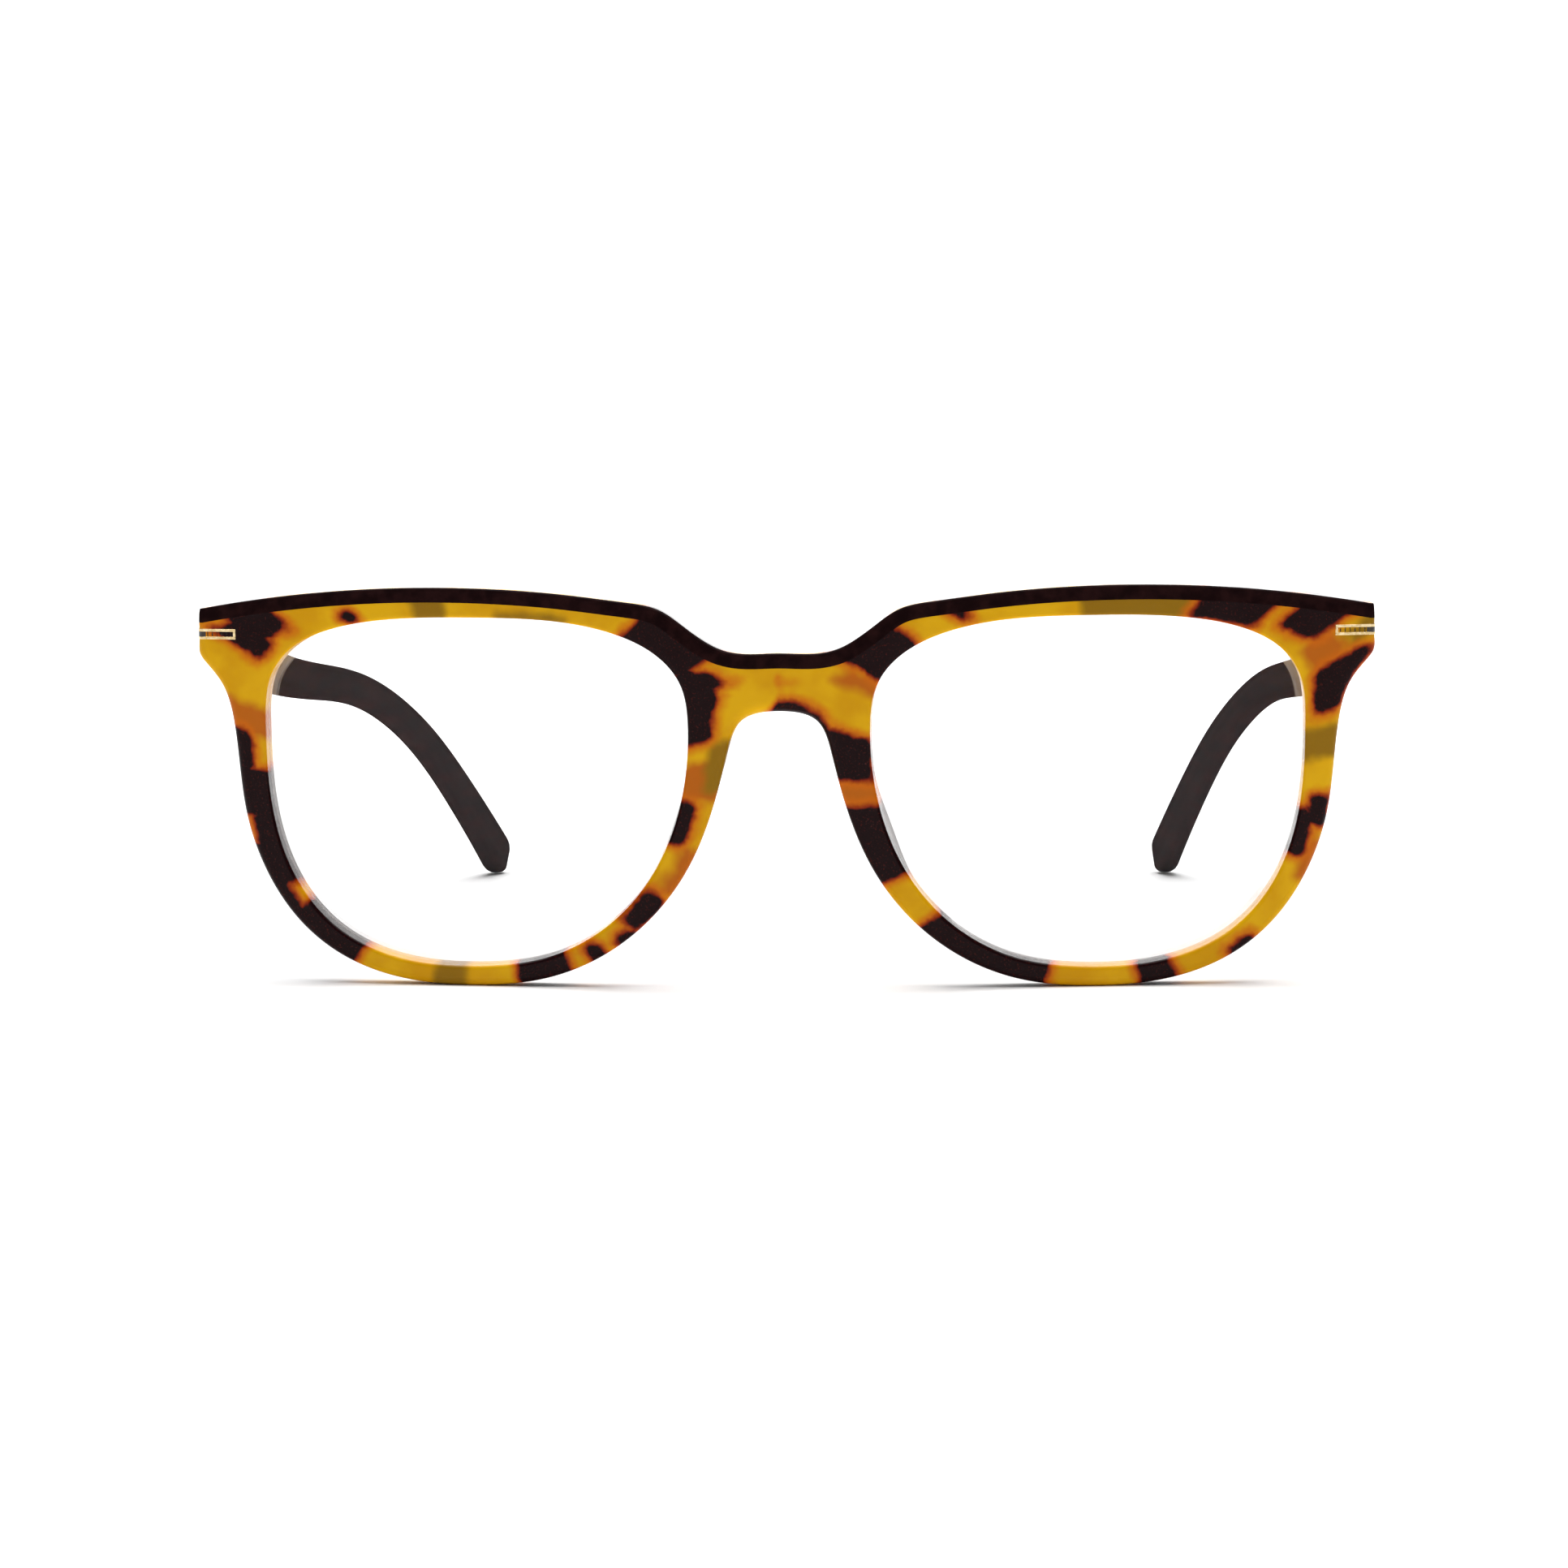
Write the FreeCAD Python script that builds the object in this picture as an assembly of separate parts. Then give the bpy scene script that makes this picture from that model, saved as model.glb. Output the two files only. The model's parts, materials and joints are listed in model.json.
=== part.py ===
"""Reading glasses with folding, sprung temples, built piece by piece.

Frame: +Z up, the lenses face -Y, the temples run back towards +Y and X runs across the face.
"left" and "right" are the wearer's own: left is +X, right is -X.
The +X half is modelled and mirrored. Everything is drawn with the bridge's front face near
y = 0, and is moved at the end so that the origin lies under the middle of the whole object,
on the surface it stands on. Millimetres.
"""
import FreeCAD, Part
import math
import os

Vector = FreeCAD.Vector

# ---- driving dimensions ----------------------------------------------------------------
FRONT_THICK = 4.2        # front, from its face to its back
WRAP_R = 300.0           # radius that the front is bent to, about an upright axis
FRONT_TILT = 2.0         # degrees that the top of the front leans forward
STRIP_WIDTH = 1.65       # brow strip, seen from the front
STRIP_DEPTH = 1.7        # how deep the strip is let into the front
BRIDGE_TOP = 39.6        # height of the bridge's top edge
ARCH_TOP = 32.7          # height of the top of the nose arch
HALF_WIDTH = 70.0        # half the width of the front

LENS_R = 220.0           # radius of both lens faces
LENS_THICK = 1.8         # lens, face to back
LENS_SET = 0.9           # depth of the lens's face behind the front's face, at lens centre
LENS_LEVEL = 23.0        # height of the lens's middle
TONGUE_OUT = 0.5         # the lens's edge stands this far into the groove
TONGUE_THICK = 0.8
GROUND = 0.13            # height of the small flats under both rims that the front stands on

TRIM_INNER_X = 65.2      # gold corner trim: its inner end, lower and upper edge
TRIM_LOW = 41.0
TRIM_HIGH = 42.25
TRIM_LINE = 0.33         # width of each gold line
TRIM_DEPTH = 0.35
TRIM_BACK_Y = 12.0       # where the trim ends on the side of the end piece

BUTT_Y = 13.0            # back face of the end pieces, where the temples butt
LUG_FRONT_Y = 9.5        # the end lugs: where they start, their inner edge at both ends
LUG_INNER_X = (61.2, 62.4)
LUG_LOW = 36.4
LUG_HIGH = 45.9
PIN_X = 64.0             # hinge axis, upright
PIN_Y = 14.6
HINGE_Z = 39.5           # middle of the hinge
PLATE_INNER_X = 62.6     # hinge plate let into the end piece
PLATE_OUTER_X = 68.2
EYE_HEIGHT = 1.6         # middle knuckle, on the spring slider
BARREL_HEIGHT = 1.3      # each of the two knuckles on the front
KNUCKLE_GAP = 0.05
KNUCKLE_R = 1.3
SCREW_R = 0.60
SCREW_CLEARANCE = 0.02
BUSH_INNER_R = 0.63
BUSH_OUTER_R = 0.85
EYE_BORE_R = 0.88

ROD_R = 0.45             # spring hinge inside the temple
HOUSING_START = 3.2      # distances along the slider's axis from the temple's front end
HOUSING_LENGTH = 12.0
HOUSING_WIDTH = 2.6
HOUSING_HEIGHT = 3.2
BORE_R = 1.0
BORE_DEPTH = 10.8
RING_OFFSET = 0.4        # lock ring behind the housing's mouth
RING_THICK = 0.8
SPRING_LENGTH = 6.0
SPRING_COIL_R = 0.72
SPRING_WIRE_R = 0.13
SPRING_PITCH = 0.75
NUT_THICK = 0.8
NUT_R = 0.9
CORE_R = 0.6             # wire core along the temple

EYE_WIDTH = 51.0         # lens opening, across its widest line
BRIDGE_GAP = 21.4        # between the two lens openings
LENS_LOW = 2.4           # heights of the opening's bottom, widest line and top
LENS_WIDEST = 31.0
LENS_TOP = 43.8
# How square each quarter of the opening is (2 is an ellipse): outer top, inner top, inner
# bottom, outer bottom.
LENS_POWERS = (3.0, 2.6, 2.2, 2.65)
LENS_SAMPLES = 20

RIM_BOTTOM = 2.4         # rim's width under the lens
RIM_GROWTH_OUTER = 0.06  # and how much wider it gets per millimetre of height, on each side
RIM_GROWTH_INNER = 0.075
RIM_STEP = 15            # degrees between the samples of the rim's outline
END_LOW = 39.4           # the end piece's side is upright down to here
END_SWEEP = [(69.0, 37.9), (67.2, 35.6)]
NOSE_ARCH = [(6.0, 28.0), (4.5, 31.5)]

BROW_R = 155.0           # the top edge is an arc, highest at BROW_X
BROW_X = 41.0
BROW_TOP = 47.3
STEP_START = 4.5         # between these it rises from the bridge to that arc
STEP_END = 15.5
TOP_AT = (5.0, 7.0, 9.0, 11.5, 14.0, 18.0, 26.0, 36.0, 46.0, 57.0)

# Temple: it toes inwards and falls along its length, and does both faster past the ear bend.
TEMPLE_AT = (13.15, 22.0, 31.0, 54.0, 76.0, 90.0, 104.0, 120.0, 136.0)
TEMPLE_START_X = 67.2
TEMPLE_START_Z = 39.8
TOE = 0.078              # millimetres inwards per millimetre back, and the extra past the bend
TOE_EAR = 0.12
TOE_BEND = (70.0, 100.0)
FALL = 0.10              # millimetres down per millimetre back, with the extra at both ends
FALL_SHOULDER = 0.12
SHOULDER_BEND = (20.0, 38.0)
FALL_EAR = 0.553
EAR_BEND = (72.0, 120.0)
WAIST_Y = 90.0           # where the temple is slimmest, with its height and thickness there
WAIST_HEIGHT = 4.5
WAIST_THICK = 3.5
HEIGHT_GAIN = (1.5, 1.5)  # how much more it is at the hinge end and at the tip
THICK_GAIN = (0.9, 0.2)
# The rounded tip: distance past the last station and the size left there.
TIP_ROUNDING = [(1.4, 0.93), (2.7, 0.74), (3.5, 0.45), (3.75, 0.2)]
TEMPLE_CORNER = 0.36     # corner radius of the temple's section, as a share of its thickness

# Nose pads, grown on the back of the front: depth behind its face, then the section's middle
# (x, height), half width and half length.
PAD_SECTIONS = [(2.0, 12.0, 20.0, 1.9, 7.0), (5.2, 12.3, 19.8, 1.8, 6.6),
                (7.6, 12.9, 19.5, 1.5, 5.8), (9.2, 13.5, 19.3, 0.9, 4.4)]
PAD_LEAN = 21.6          # degrees that the pads spread apart downwards
PAD_OVERHANG = 0.3       # behind the front's back by this much, a pad may stand past the lens's edge


# ---- small helpers ---------------------------------------------------------------------
def mirrored(points):
    """The same outline points on the other side, in reverse order."""
    return [(-x, z) for x, z in reversed(points)]


def spline(points, closed=False):
    curve = Part.BSplineCurve()
    curve.interpolate(Points=[Vector(x, 0, z) for x, z in points], PeriodicFlag=closed)
    return curve.toShape()


def segment(start, end):
    return Part.makeLine(Vector(start[0], 0, start[1]), Vector(end[0], 0, end[1]))


def prism(wire, start_y=-6.0, end_y=40.0):
    """The solid that a flat outline sweeps along Y."""
    face = Part.Face(wire)
    face.translate(Vector(0, start_y, 0))
    return face.extrude(Vector(0, end_y - start_y, 0))


def box(low, high):
    size = [high[i] - low[i] for i in range(3)]
    return Part.makeBox(size[0], size[1], size[2], Vector(*low))


def wrap_shell(near, far):
    """Everything between two depths behind the bent front's face."""
    axis_point = Vector(0, WRAP_R, -10)
    outer = Part.makeCylinder(WRAP_R - near, 70, axis_point)
    inner = Part.makeCylinder(WRAP_R - far, 70, axis_point)
    return outer.cut(inner)


def tilt(shape):
    """Leans the front's pieces forward about its lowest edge."""
    turned = shape.copy()
    turned.rotate(Vector(0, 0, 0), Vector(1, 0, 0), FRONT_TILT)
    return turned


def mirror(shape):
    return shape.mirror(Vector(0, 0, 0), Vector(1, 0, 0))


def unit(vector):
    return vector * (1.0 / vector.Length)


# ---- outlines, x then height, of one half of the flat front -----------------------------
LENS_MIDDLE = 0.5 * (BRIDGE_GAP + EYE_WIDTH)


def lens_point(degrees):
    """A point of the lens opening, whose quarters are superellipses that share their axes."""
    quarter = int(degrees % 360 // 90)
    power = 2.0 / LENS_POWERS[quarter]
    cosine = math.cos(math.radians(degrees))
    sine = math.sin(math.radians(degrees))
    reach = LENS_TOP - LENS_WIDEST if sine > 0 else LENS_WIDEST - LENS_LOW
    return (LENS_MIDDLE + math.copysign(abs(cosine) ** power, cosine) * 0.5 * EYE_WIDTH,
            LENS_WIDEST + math.copysign(abs(sine) ** power, sine) * reach)


def rim_point(degrees):
    """A point of the rim's outer edge, square out from the lens opening."""
    x, z = lens_point(degrees)
    after, before = lens_point(degrees - 1), lens_point(degrees + 1)
    along = (after[0] - before[0], after[1] - before[1])
    growth = RIM_GROWTH_OUTER if x > LENS_MIDDLE else RIM_GROWTH_INNER
    width = RIM_BOTTOM + growth * (z - LENS_LOW)
    length = math.hypot(*along)
    return x - width * along[1] / length, z + width * along[0] / length


def top_height(x):
    """Height of the top edge: the brow's arc, and the step down from it to the bridge."""
    arc = BROW_TOP - (x - BROW_X) ** 2 / (2 * BROW_R)
    share = min(max((x - STEP_START) / (STEP_END - STEP_START), 0.0), 1.0)
    return BRIDGE_TOP + (arc - BRIDGE_TOP) * share * share * (3 - 2 * share)


LENS_EDGE = [lens_point(90 - 360 * k / LENS_SAMPLES) for k in range(LENS_SAMPLES)]
CORNER = (HALF_WIDTH - 0.1, top_height(HALF_WIDTH - 0.1))
TOP_EDGE = [(x, top_height(x)) for x in TOP_AT]
END_SIDE = [(HALF_WIDTH, END_LOW + rise) for rise in (3.0, 1.5, 0.0)]
LOWER_EDGE = END_SIDE + END_SWEEP + [rim_point(-a) for a in range(0, 166, RIM_STEP)] + NOSE_ARCH


# ---- the front -------------------------------------------------------------------------
def outer_wire():
    corner_left = (-CORNER[0], CORNER[1])
    top = mirrored(TOP_EDGE) + [(0.0, BRIDGE_TOP)] + TOP_EDGE
    low = LOWER_EDGE + [(0.0, ARCH_TOP)] + mirrored(LOWER_EDGE)
    edges = [spline([corner_left] + top + [CORNER]),
             spline([CORNER] + low + [corner_left])]
    return Part.Wire(edges)


def lens_wire(grow=0.0):
    """The lens opening's outline, or the same outline moved outwards."""
    points = []
    for index, (x, z) in enumerate(LENS_EDGE):
        before = LENS_EDGE[index - 1]
        after = LENS_EDGE[(index + 1) % len(LENS_EDGE)]
        length = math.hypot(after[0] - before[0], after[1] - before[1])
        points.append((x - grow * (after[1] - before[1]) / length,
                       z + grow * (after[0] - before[0]) / length))
    return Part.Wire(spline(points, closed=True))


def end_lug():
    """Thickens the end piece back past the plane where the temple butts."""
    back_y = BUTT_Y + 3.0
    outer_x = HALF_WIDTH + 2.0
    plan = [(LUG_INNER_X[0], LUG_FRONT_Y), (LUG_INNER_X[1], back_y),
            (outer_x, back_y), (outer_x, LUG_FRONT_Y)]
    points = [Vector(x, y, LUG_LOW) for x, y in plan]
    wire = Part.makePolygon(points + points[:1])
    return Part.Face(wire).extrude(Vector(0, 0, LUG_HIGH - LUG_LOW))


def front_sheet():
    """The bent front with its lens openings, without the end lugs."""
    openings = prism(lens_wire())
    outline = prism(outer_wire()).cut(openings).cut(mirror(openings))
    return outline.common(wrap_shell(0.0, FRONT_THICK))


def offset_points(points, distance):
    """Points moved sideways off a curve, and run on a little past both of its ends."""
    moved = []
    last = len(points) - 1
    for index, (x, z) in enumerate(points):
        before = points[max(index - 1, 0)]
        after = points[min(index + 1, last)]
        length = math.hypot(after[0] - before[0], after[1] - before[1])
        along = ((after[0] - before[0]) / length, (after[1] - before[1]) / length)
        run_on = {0: -1.5, last: 1.5}.get(index, 0.0)
        moved.append((x - distance * along[1] + run_on * along[0],
                      z + distance * along[0] + run_on * along[1]))
    return moved


def strip_room():
    """The room along the top edge that the brow strip fills."""
    half = [(0.0, BRIDGE_TOP)] + TOP_EDGE + [CORNER]
    edge = mirrored(half[1:]) + half
    above = offset_points(edge, 1.5)
    below = offset_points(edge, -STRIP_WIDTH)
    wire = Part.Wire([spline(above), segment(above[-1], below[-1]),
                      spline(below), segment(below[0], above[0])])
    return prism(wire).common(wrap_shell(-1.0, STRIP_DEPTH))


def oval(centre_x, depth, height, half_width, half_length):
    """An upright oval wire across the nose pad, leaning with the nose."""
    ellipse = Part.Ellipse(Vector(0, 0, 0), half_length, half_width).toShape()
    wire = Part.Wire(ellipse)
    wire.rotate(Vector(0, 0, 0), Vector(1, 0, 0), 90)
    wire.rotate(Vector(0, 0, 0), Vector(0, 1, 0), 90 - PAD_LEAN)
    wire.translate(Vector(centre_x, depth, height))
    return wire


def nose_pad():
    """A pad as it grows out of the front's back, clear of the lens in its opening."""
    wires = [oval(x, depth, z, width, length) for depth, x, z, width, length in PAD_SECTIONS]
    opening = prism(lens_wire()).common(wrap_shell(0.0, FRONT_THICK + PAD_OVERHANG))
    return Part.makeLoft(wires, True, False).cut(opening)


def lens_parts():
    """A lens's body, and the tongue round its edge that snaps into the front's groove."""
    angle = math.asin(LENS_MIDDLE / WRAP_R)
    towards_axis = Vector(-math.sin(angle), math.cos(angle), 0)
    face_point = Vector(0, WRAP_R, LENS_LEVEL) - towards_axis * (WRAP_R - LENS_SET)
    centre = face_point + towards_axis * LENS_R

    def ball_shell(near, far):
        return Part.makeSphere(LENS_R - near, centre).cut(Part.makeSphere(LENS_R - far, centre))

    near = 0.5 * (LENS_THICK - TONGUE_THICK)
    body = prism(lens_wire()).common(ball_shell(0.0, LENS_THICK))
    tongue = prism(lens_wire(TONGUE_OUT)).common(ball_shell(near, near + TONGUE_THICK))
    return body, tongue


def trim_room():
    """The shallow room round the end piece's corner that the gold trim fills."""
    core = box((50, -5, 30), (HALF_WIDTH - TRIM_DEPTH, 30, 60))
    core = core.common(wrap_shell(TRIM_DEPTH, 15.0))
    return box((TRIM_INNER_X, 0, TRIM_LOW), (75, TRIM_BACK_Y, TRIM_HIGH)).cut(core)


def trim_inlay_room():
    """The part of the trim's room that the dark inlay fills."""
    return trim_room().common(box((TRIM_INNER_X + TRIM_LINE, 0, TRIM_LOW + TRIM_LINE),
                                  (75, TRIM_BACK_Y - TRIM_LINE, TRIM_HIGH - TRIM_LINE)))


# ---- the temple ------------------------------------------------------------------------
def bent(y, bend):
    """How far past a bend y lies: nothing before it, and growing smoothly within it."""
    start, end = bend
    inside = min(max(y - start, 0.0), end - start)
    return inside ** 2 / (2 * (end - start)) + max(y - end, 0.0)


def temple_station(y):
    """y, x and height of the temple's middle, then its height and thickness there."""
    run = y - TEMPLE_AT[0]
    x = TEMPLE_START_X - TOE * run - TOE_EAR * bent(y, TOE_BEND)
    z = TEMPLE_START_Z - (FALL + FALL_SHOULDER) * run
    z += FALL_SHOULDER * bent(y, SHOULDER_BEND) - FALL_EAR * bent(y, EAR_BEND)
    end, side = (TEMPLE_AT[0], 0) if y < WAIST_Y else (TEMPLE_AT[-1], 1)
    share = ((y - WAIST_Y) / (end - WAIST_Y)) ** 2
    return y, x, z, WAIST_HEIGHT + HEIGHT_GAIN[side] * share, WAIST_THICK + THICK_GAIN[side] * share


TEMPLE_STATIONS = [temple_station(y) for y in TEMPLE_AT]


def slider_axis():
    """Start point and direction of the spring hinge's axis, along the temple's front end."""
    (y0, x0, z0), (y1, x1, z1) = TEMPLE_STATIONS[0][:3], TEMPLE_STATIONS[1][:3]
    start = Vector(x0, y0, z0)
    return start, unit(Vector(x1, y1, z1) - start)


AXIS_START, AXIS_DIR = slider_axis()


def on_axis(distance):
    return AXIS_START + AXIS_DIR * distance


def temple_path():
    """Middle point, direction, height and thickness at every station and round the tip."""
    middles = [Vector(x, y, z) for y, x, z, height, thick in TEMPLE_STATIONS]
    last = len(middles) - 1
    path = []
    for index, station in enumerate(TEMPLE_STATIONS):
        ahead = middles[min(index + 1, last)] - middles[max(index - 1, 0)]
        direction = Vector(0, 1, 0) if index == 0 else unit(ahead)
        path.append((middles[index], direction, station[3], station[4]))
    middle, direction, height, thick = path[-1]
    for distance, size in TIP_ROUNDING:
        path.append((middle + direction * distance, direction, height * size, thick * size))
    return path


def across(direction):
    """Unit vectors sideways and upwards from a temple's direction."""
    side = unit(direction.cross(Vector(0, 0, 1)))
    return side, side.cross(direction)


def rounded_section(middle, direction, height, thick):
    """A rounded rectangle across the temple, as four lines and four arcs."""
    side, up = across(direction)
    radius = TEMPLE_CORNER * thick
    flat_side, flat_up = 0.5 * thick - radius, 0.5 * height - radius
    diagonal = radius * math.sqrt(0.5)
    edges = []
    corners = [(1, 1), (-1, 1), (-1, -1), (1, -1)]
    for a, b in corners:
        centre = middle + side * (a * flat_side) + up * (b * flat_up)
        ends = [centre + side * (a * radius), centre + up * (b * radius)]
        if a != b:
            ends.reverse()
        mid_arc = centre + side * (a * diagonal) + up * (b * diagonal)
        edges.append((ends[0], mid_arc, ends[1]))
    shapes = []
    for index, (start, middle_point, end) in enumerate(edges):
        shapes.append(Part.Arc(start, middle_point, end).toShape())
        shapes.append(Part.makeLine(end, edges[(index + 1) % 4][0]))
    return Part.Wire(shapes)


def temple_blank():
    return Part.makeLoft([rounded_section(*station) for station in temple_path()], True, False)


def temple_core():
    """The wire cast into the temple, from the spring housing to near the tip."""
    start = on_axis(HOUSING_START + HOUSING_LENGTH)
    wires = [circle(start, AXIS_DIR, CORE_R)]
    for station in temple_path()[2:len(TEMPLE_STATIONS)]:
        wires.append(circle(station[0], station[1], CORE_R))
    return Part.makeLoft(wires, True, False)


def circle(centre, direction, radius):
    return Part.Wire(Part.makeCircle(radius, centre, direction))


def rod(radius, start, end):
    """A round bar along the slider's axis between two distances."""
    return Part.makeCylinder(radius, end - start, on_axis(start), AXIS_DIR)


# ---- the hinge -------------------------------------------------------------------------
def upright(radius, low, high):
    """An upright cylinder on the hinge's pin axis."""
    return Part.makeCylinder(radius, high - low, Vector(PIN_X, PIN_Y, low))


EYE_LOW = HINGE_Z - 0.5 * EYE_HEIGHT
EYE_HIGH = HINGE_Z + 0.5 * EYE_HEIGHT
BARRELS = [(EYE_LOW - KNUCKLE_GAP - BARREL_HEIGHT, EYE_LOW - KNUCKLE_GAP),
           (EYE_HIGH + KNUCKLE_GAP, EYE_HIGH + KNUCKLE_GAP + BARREL_HEIGHT)]
HINGE_LOW = BARRELS[0][0]
HINGE_HIGH = BARRELS[1][1]
PLATE_BACK = 0.7         # thickness of the front hinge's plate
WEB_HALF = 0.8           # half width of the webs that carry its knuckles
PEG_R = 0.55
PEG_LENGTH = 2.0
PEG_X = 66.6


def front_hinge():
    """Plate let into the end piece, two pegs into it and the two outer knuckles."""
    shape = box((PLATE_INNER_X, BUTT_Y - PLATE_BACK, HINGE_LOW), (PLATE_OUTER_X, BUTT_Y, HINGE_HIGH))
    for low, high in BARRELS:
        shape = shape.fuse(upright(KNUCKLE_R, low, high))
        web = box((PIN_X - WEB_HALF, BUTT_Y - 0.1, low), (PIN_X + WEB_HALF, PIN_Y, high))
        shape = shape.fuse(web)
        peg_start = Vector(PEG_X, BUTT_Y - PLATE_BACK - PEG_LENGTH, 0.5 * (low + high))
        shape = shape.fuse(Part.makeCylinder(PEG_R, PEG_LENGTH + 0.1, peg_start, Vector(0, 1, 0)))
    bore = upright(SCREW_R + SCREW_CLEARANCE, HINGE_LOW - 1, HINGE_HIGH + 1)
    return shape.cut(bore).removeSplitter()


HEAD_R = 1.05
HEAD_HEIGHT = 0.5
HEAD_CHAMFER = 0.15
SLOT_WIDTH = 0.25
SLOT_DEPTH = 0.25


def hinge_screw():
    shaft = upright(SCREW_R, HINGE_LOW, HINGE_HIGH + 0.1)
    head = upright(HEAD_R, HINGE_HIGH, HINGE_HIGH + HEAD_HEIGHT)
    top = HINGE_HIGH + HEAD_HEIGHT
    rim = [edge for edge in head.Edges if edge.BoundBox.ZMin > top - 0.5 * HEAD_HEIGHT]
    head = head.makeChamfer(HEAD_CHAMFER, rim)
    slot = box((PIN_X - 2, PIN_Y - 0.5 * SLOT_WIDTH, top - SLOT_DEPTH),
               (PIN_X + 2, PIN_Y + 0.5 * SLOT_WIDTH, top + 1))
    return shaft.fuse(head).cut(slot).removeSplitter()


def hinge_bush():
    return upright(BUSH_OUTER_R, EYE_LOW, EYE_HIGH).cut(
        upright(BUSH_INNER_R, EYE_LOW - 1, EYE_HIGH + 1))


RING_START = HOUSING_START + RING_OFFSET
SPRING_START = RING_START + RING_THICK
NUT_START = SPRING_START + SPRING_LENGTH
ROD_START = 2.4
ROD_END = NUT_START + NUT_THICK + 0.3
RING_CLEARANCE = 0.08    # between the rod and the lock ring it slides through
WIRE_CLEARANCE = 0.02    # between the spring's ends and what they push on
ARM_NEAR_Y = 14.8        # the slider's arm, from the eye across to the rod
ARM_FAR_Y = 16.1
ARM_OUTER_X = 67.6


def spring_slider():
    """The middle knuckle, its arm into the temple and the rod that carries the spring."""
    shape = upright(KNUCKLE_R, EYE_LOW, EYE_HIGH)
    shape = shape.fuse(box((PIN_X, ARM_NEAR_Y, EYE_LOW), (ARM_OUTER_X, ARM_FAR_Y, EYE_HIGH)))
    shape = shape.fuse(rod(ROD_R, ROD_START, ROD_END))
    return shape.cut(upright(EYE_BORE_R, EYE_LOW - 1, EYE_HIGH + 1)).removeSplitter()


def slider_nut():
    return rod(NUT_R, NUT_START, NUT_START + NUT_THICK).cut(rod(ROD_R, NUT_START - 1, ROD_END))


def lock_ring():
    ring = rod(BORE_R, RING_START, RING_START + RING_THICK)
    return ring.cut(rod(ROD_R + RING_CLEARANCE, RING_START - 1, RING_START + 2))


def hinge_spring():
    """A compression spring round the rod, between the lock ring and the nut."""
    clear = SPRING_WIRE_R + WIRE_CLEARANCE
    length = SPRING_LENGTH - 2 * clear
    helix = Part.makeHelix(SPRING_PITCH, length, SPRING_COIL_R)
    profile = circle(Vector(SPRING_COIL_R, 0, 0), Vector(0, 1, 0), SPRING_WIRE_R)
    coil = Part.Wire(helix).makePipeShell([profile], True, True)
    turn = FreeCAD.Rotation(Vector(0, 0, 1), AXIS_DIR)
    coil.Placement = FreeCAD.Placement(on_axis(SPRING_START + clear), turn)
    return coil


def spring_housing():
    """The metal box cast into the temple, with the bore that the spring works in."""
    start, end = HOUSING_START, HOUSING_START + HOUSING_LENGTH
    shape = Part.makeLoft([housing_section(start), housing_section(end)], True, True)
    return shape.cut(rod(BORE_R, start - 1, start + BORE_DEPTH))


def housing_section(distance):
    side, up = across(AXIS_DIR)
    middle = on_axis(distance)
    corners = []
    for a, b in ((1, 1), (-1, 1), (-1, -1), (1, -1)):
        corners.append(middle + side * (a * 0.5 * HOUSING_WIDTH) + up * (b * 0.5 * HOUSING_HEIGHT))
    return Part.makePolygon(corners + corners[:1])


HINGE_RELIEF = 0.3       # room round the knuckles
SLOT_SIDE = 0.4          # room beside, below and above the slider's arm
SLOT_BELOW = 0.3
SLOT_ABOVE = 0.5


def temple(housing_envelope, core):
    """The temple with the room for its spring hinge and its wire core cut out."""
    inner_x = PIN_X - 4.0
    low, high = HINGE_Z - 10.0, HINGE_Z + 10.0
    relief_r = KNUCKLE_R + HINGE_RELIEF
    slot_back = on_axis(HOUSING_START).y + SLOT_SIDE
    relief = box((inner_x, 0, low), (PIN_X + relief_r, PIN_Y, high))
    slot = box((inner_x, 0, EYE_LOW - SLOT_BELOW),
               (ARM_OUTER_X + SLOT_SIDE, slot_back, EYE_HIGH + SLOT_ABOVE))
    shape = temple_blank()
    for room in (relief, upright(relief_r, low, high), slot, housing_envelope, core):
        shape = shape.cut(room)
    return shape


# ---- put together ----------------------------------------------------------------------
def build_side():
    """Every piece of the +X side that isn't part of the front's own bonded pieces."""
    housing = spring_housing()
    envelope = housing.fuse(rod(BORE_R, HOUSING_START, HOUSING_START + BORE_DEPTH))
    core = temple_core()
    return {
        "front_hinge": front_hinge(),
        "hinge_screw": hinge_screw(),
        "hinge_bush": hinge_bush(),
        "spring_slider": spring_slider(),
        "slider_nut": slider_nut(),
        "lock_ring": lock_ring(),
        "hinge_spring": hinge_spring(),
        "spring_housing": housing,
        "temple_core": core,
        "temple": temple(envelope, core),
    }


def build_front():
    """The front and the pieces bonded to it, leaning as they stand."""
    lug = end_lug().common(prism(outer_wire()))
    pad = nose_pad()
    blank = front_sheet()
    for piece in (lug, mirror(lug), pad, mirror(pad)):
        blank = blank.fuse(piece)
    body, tongue = lens_parts()
    half = {"lens": body.fuse(tongue),
            "corner_trim": blank.common(trim_room()).cut(trim_inlay_room()),
            "trim_inlay": blank.common(trim_inlay_room())}
    pieces = {"brow_strip": blank.common(strip_room())}
    for name, piece in half.items():
        pieces["left_" + name] = piece
        pieces["right_" + name] = mirror(piece)
    for room in (strip_room(), tongue, mirror(tongue), trim_room(), mirror(trim_room())):
        blank = blank.cut(room)
    pieces["front_frame"] = blank
    for name in pieces:
        pieces[name] = tilt(pieces[name])
    behind = box((-90, BUTT_Y, 20), (90, 60, 60))
    below = box((-90, -10, GROUND - 2.0), (90, 30, GROUND))
    pieces["front_frame"] = pieces["front_frame"].cut(behind).cut(below)
    return pieces


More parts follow.
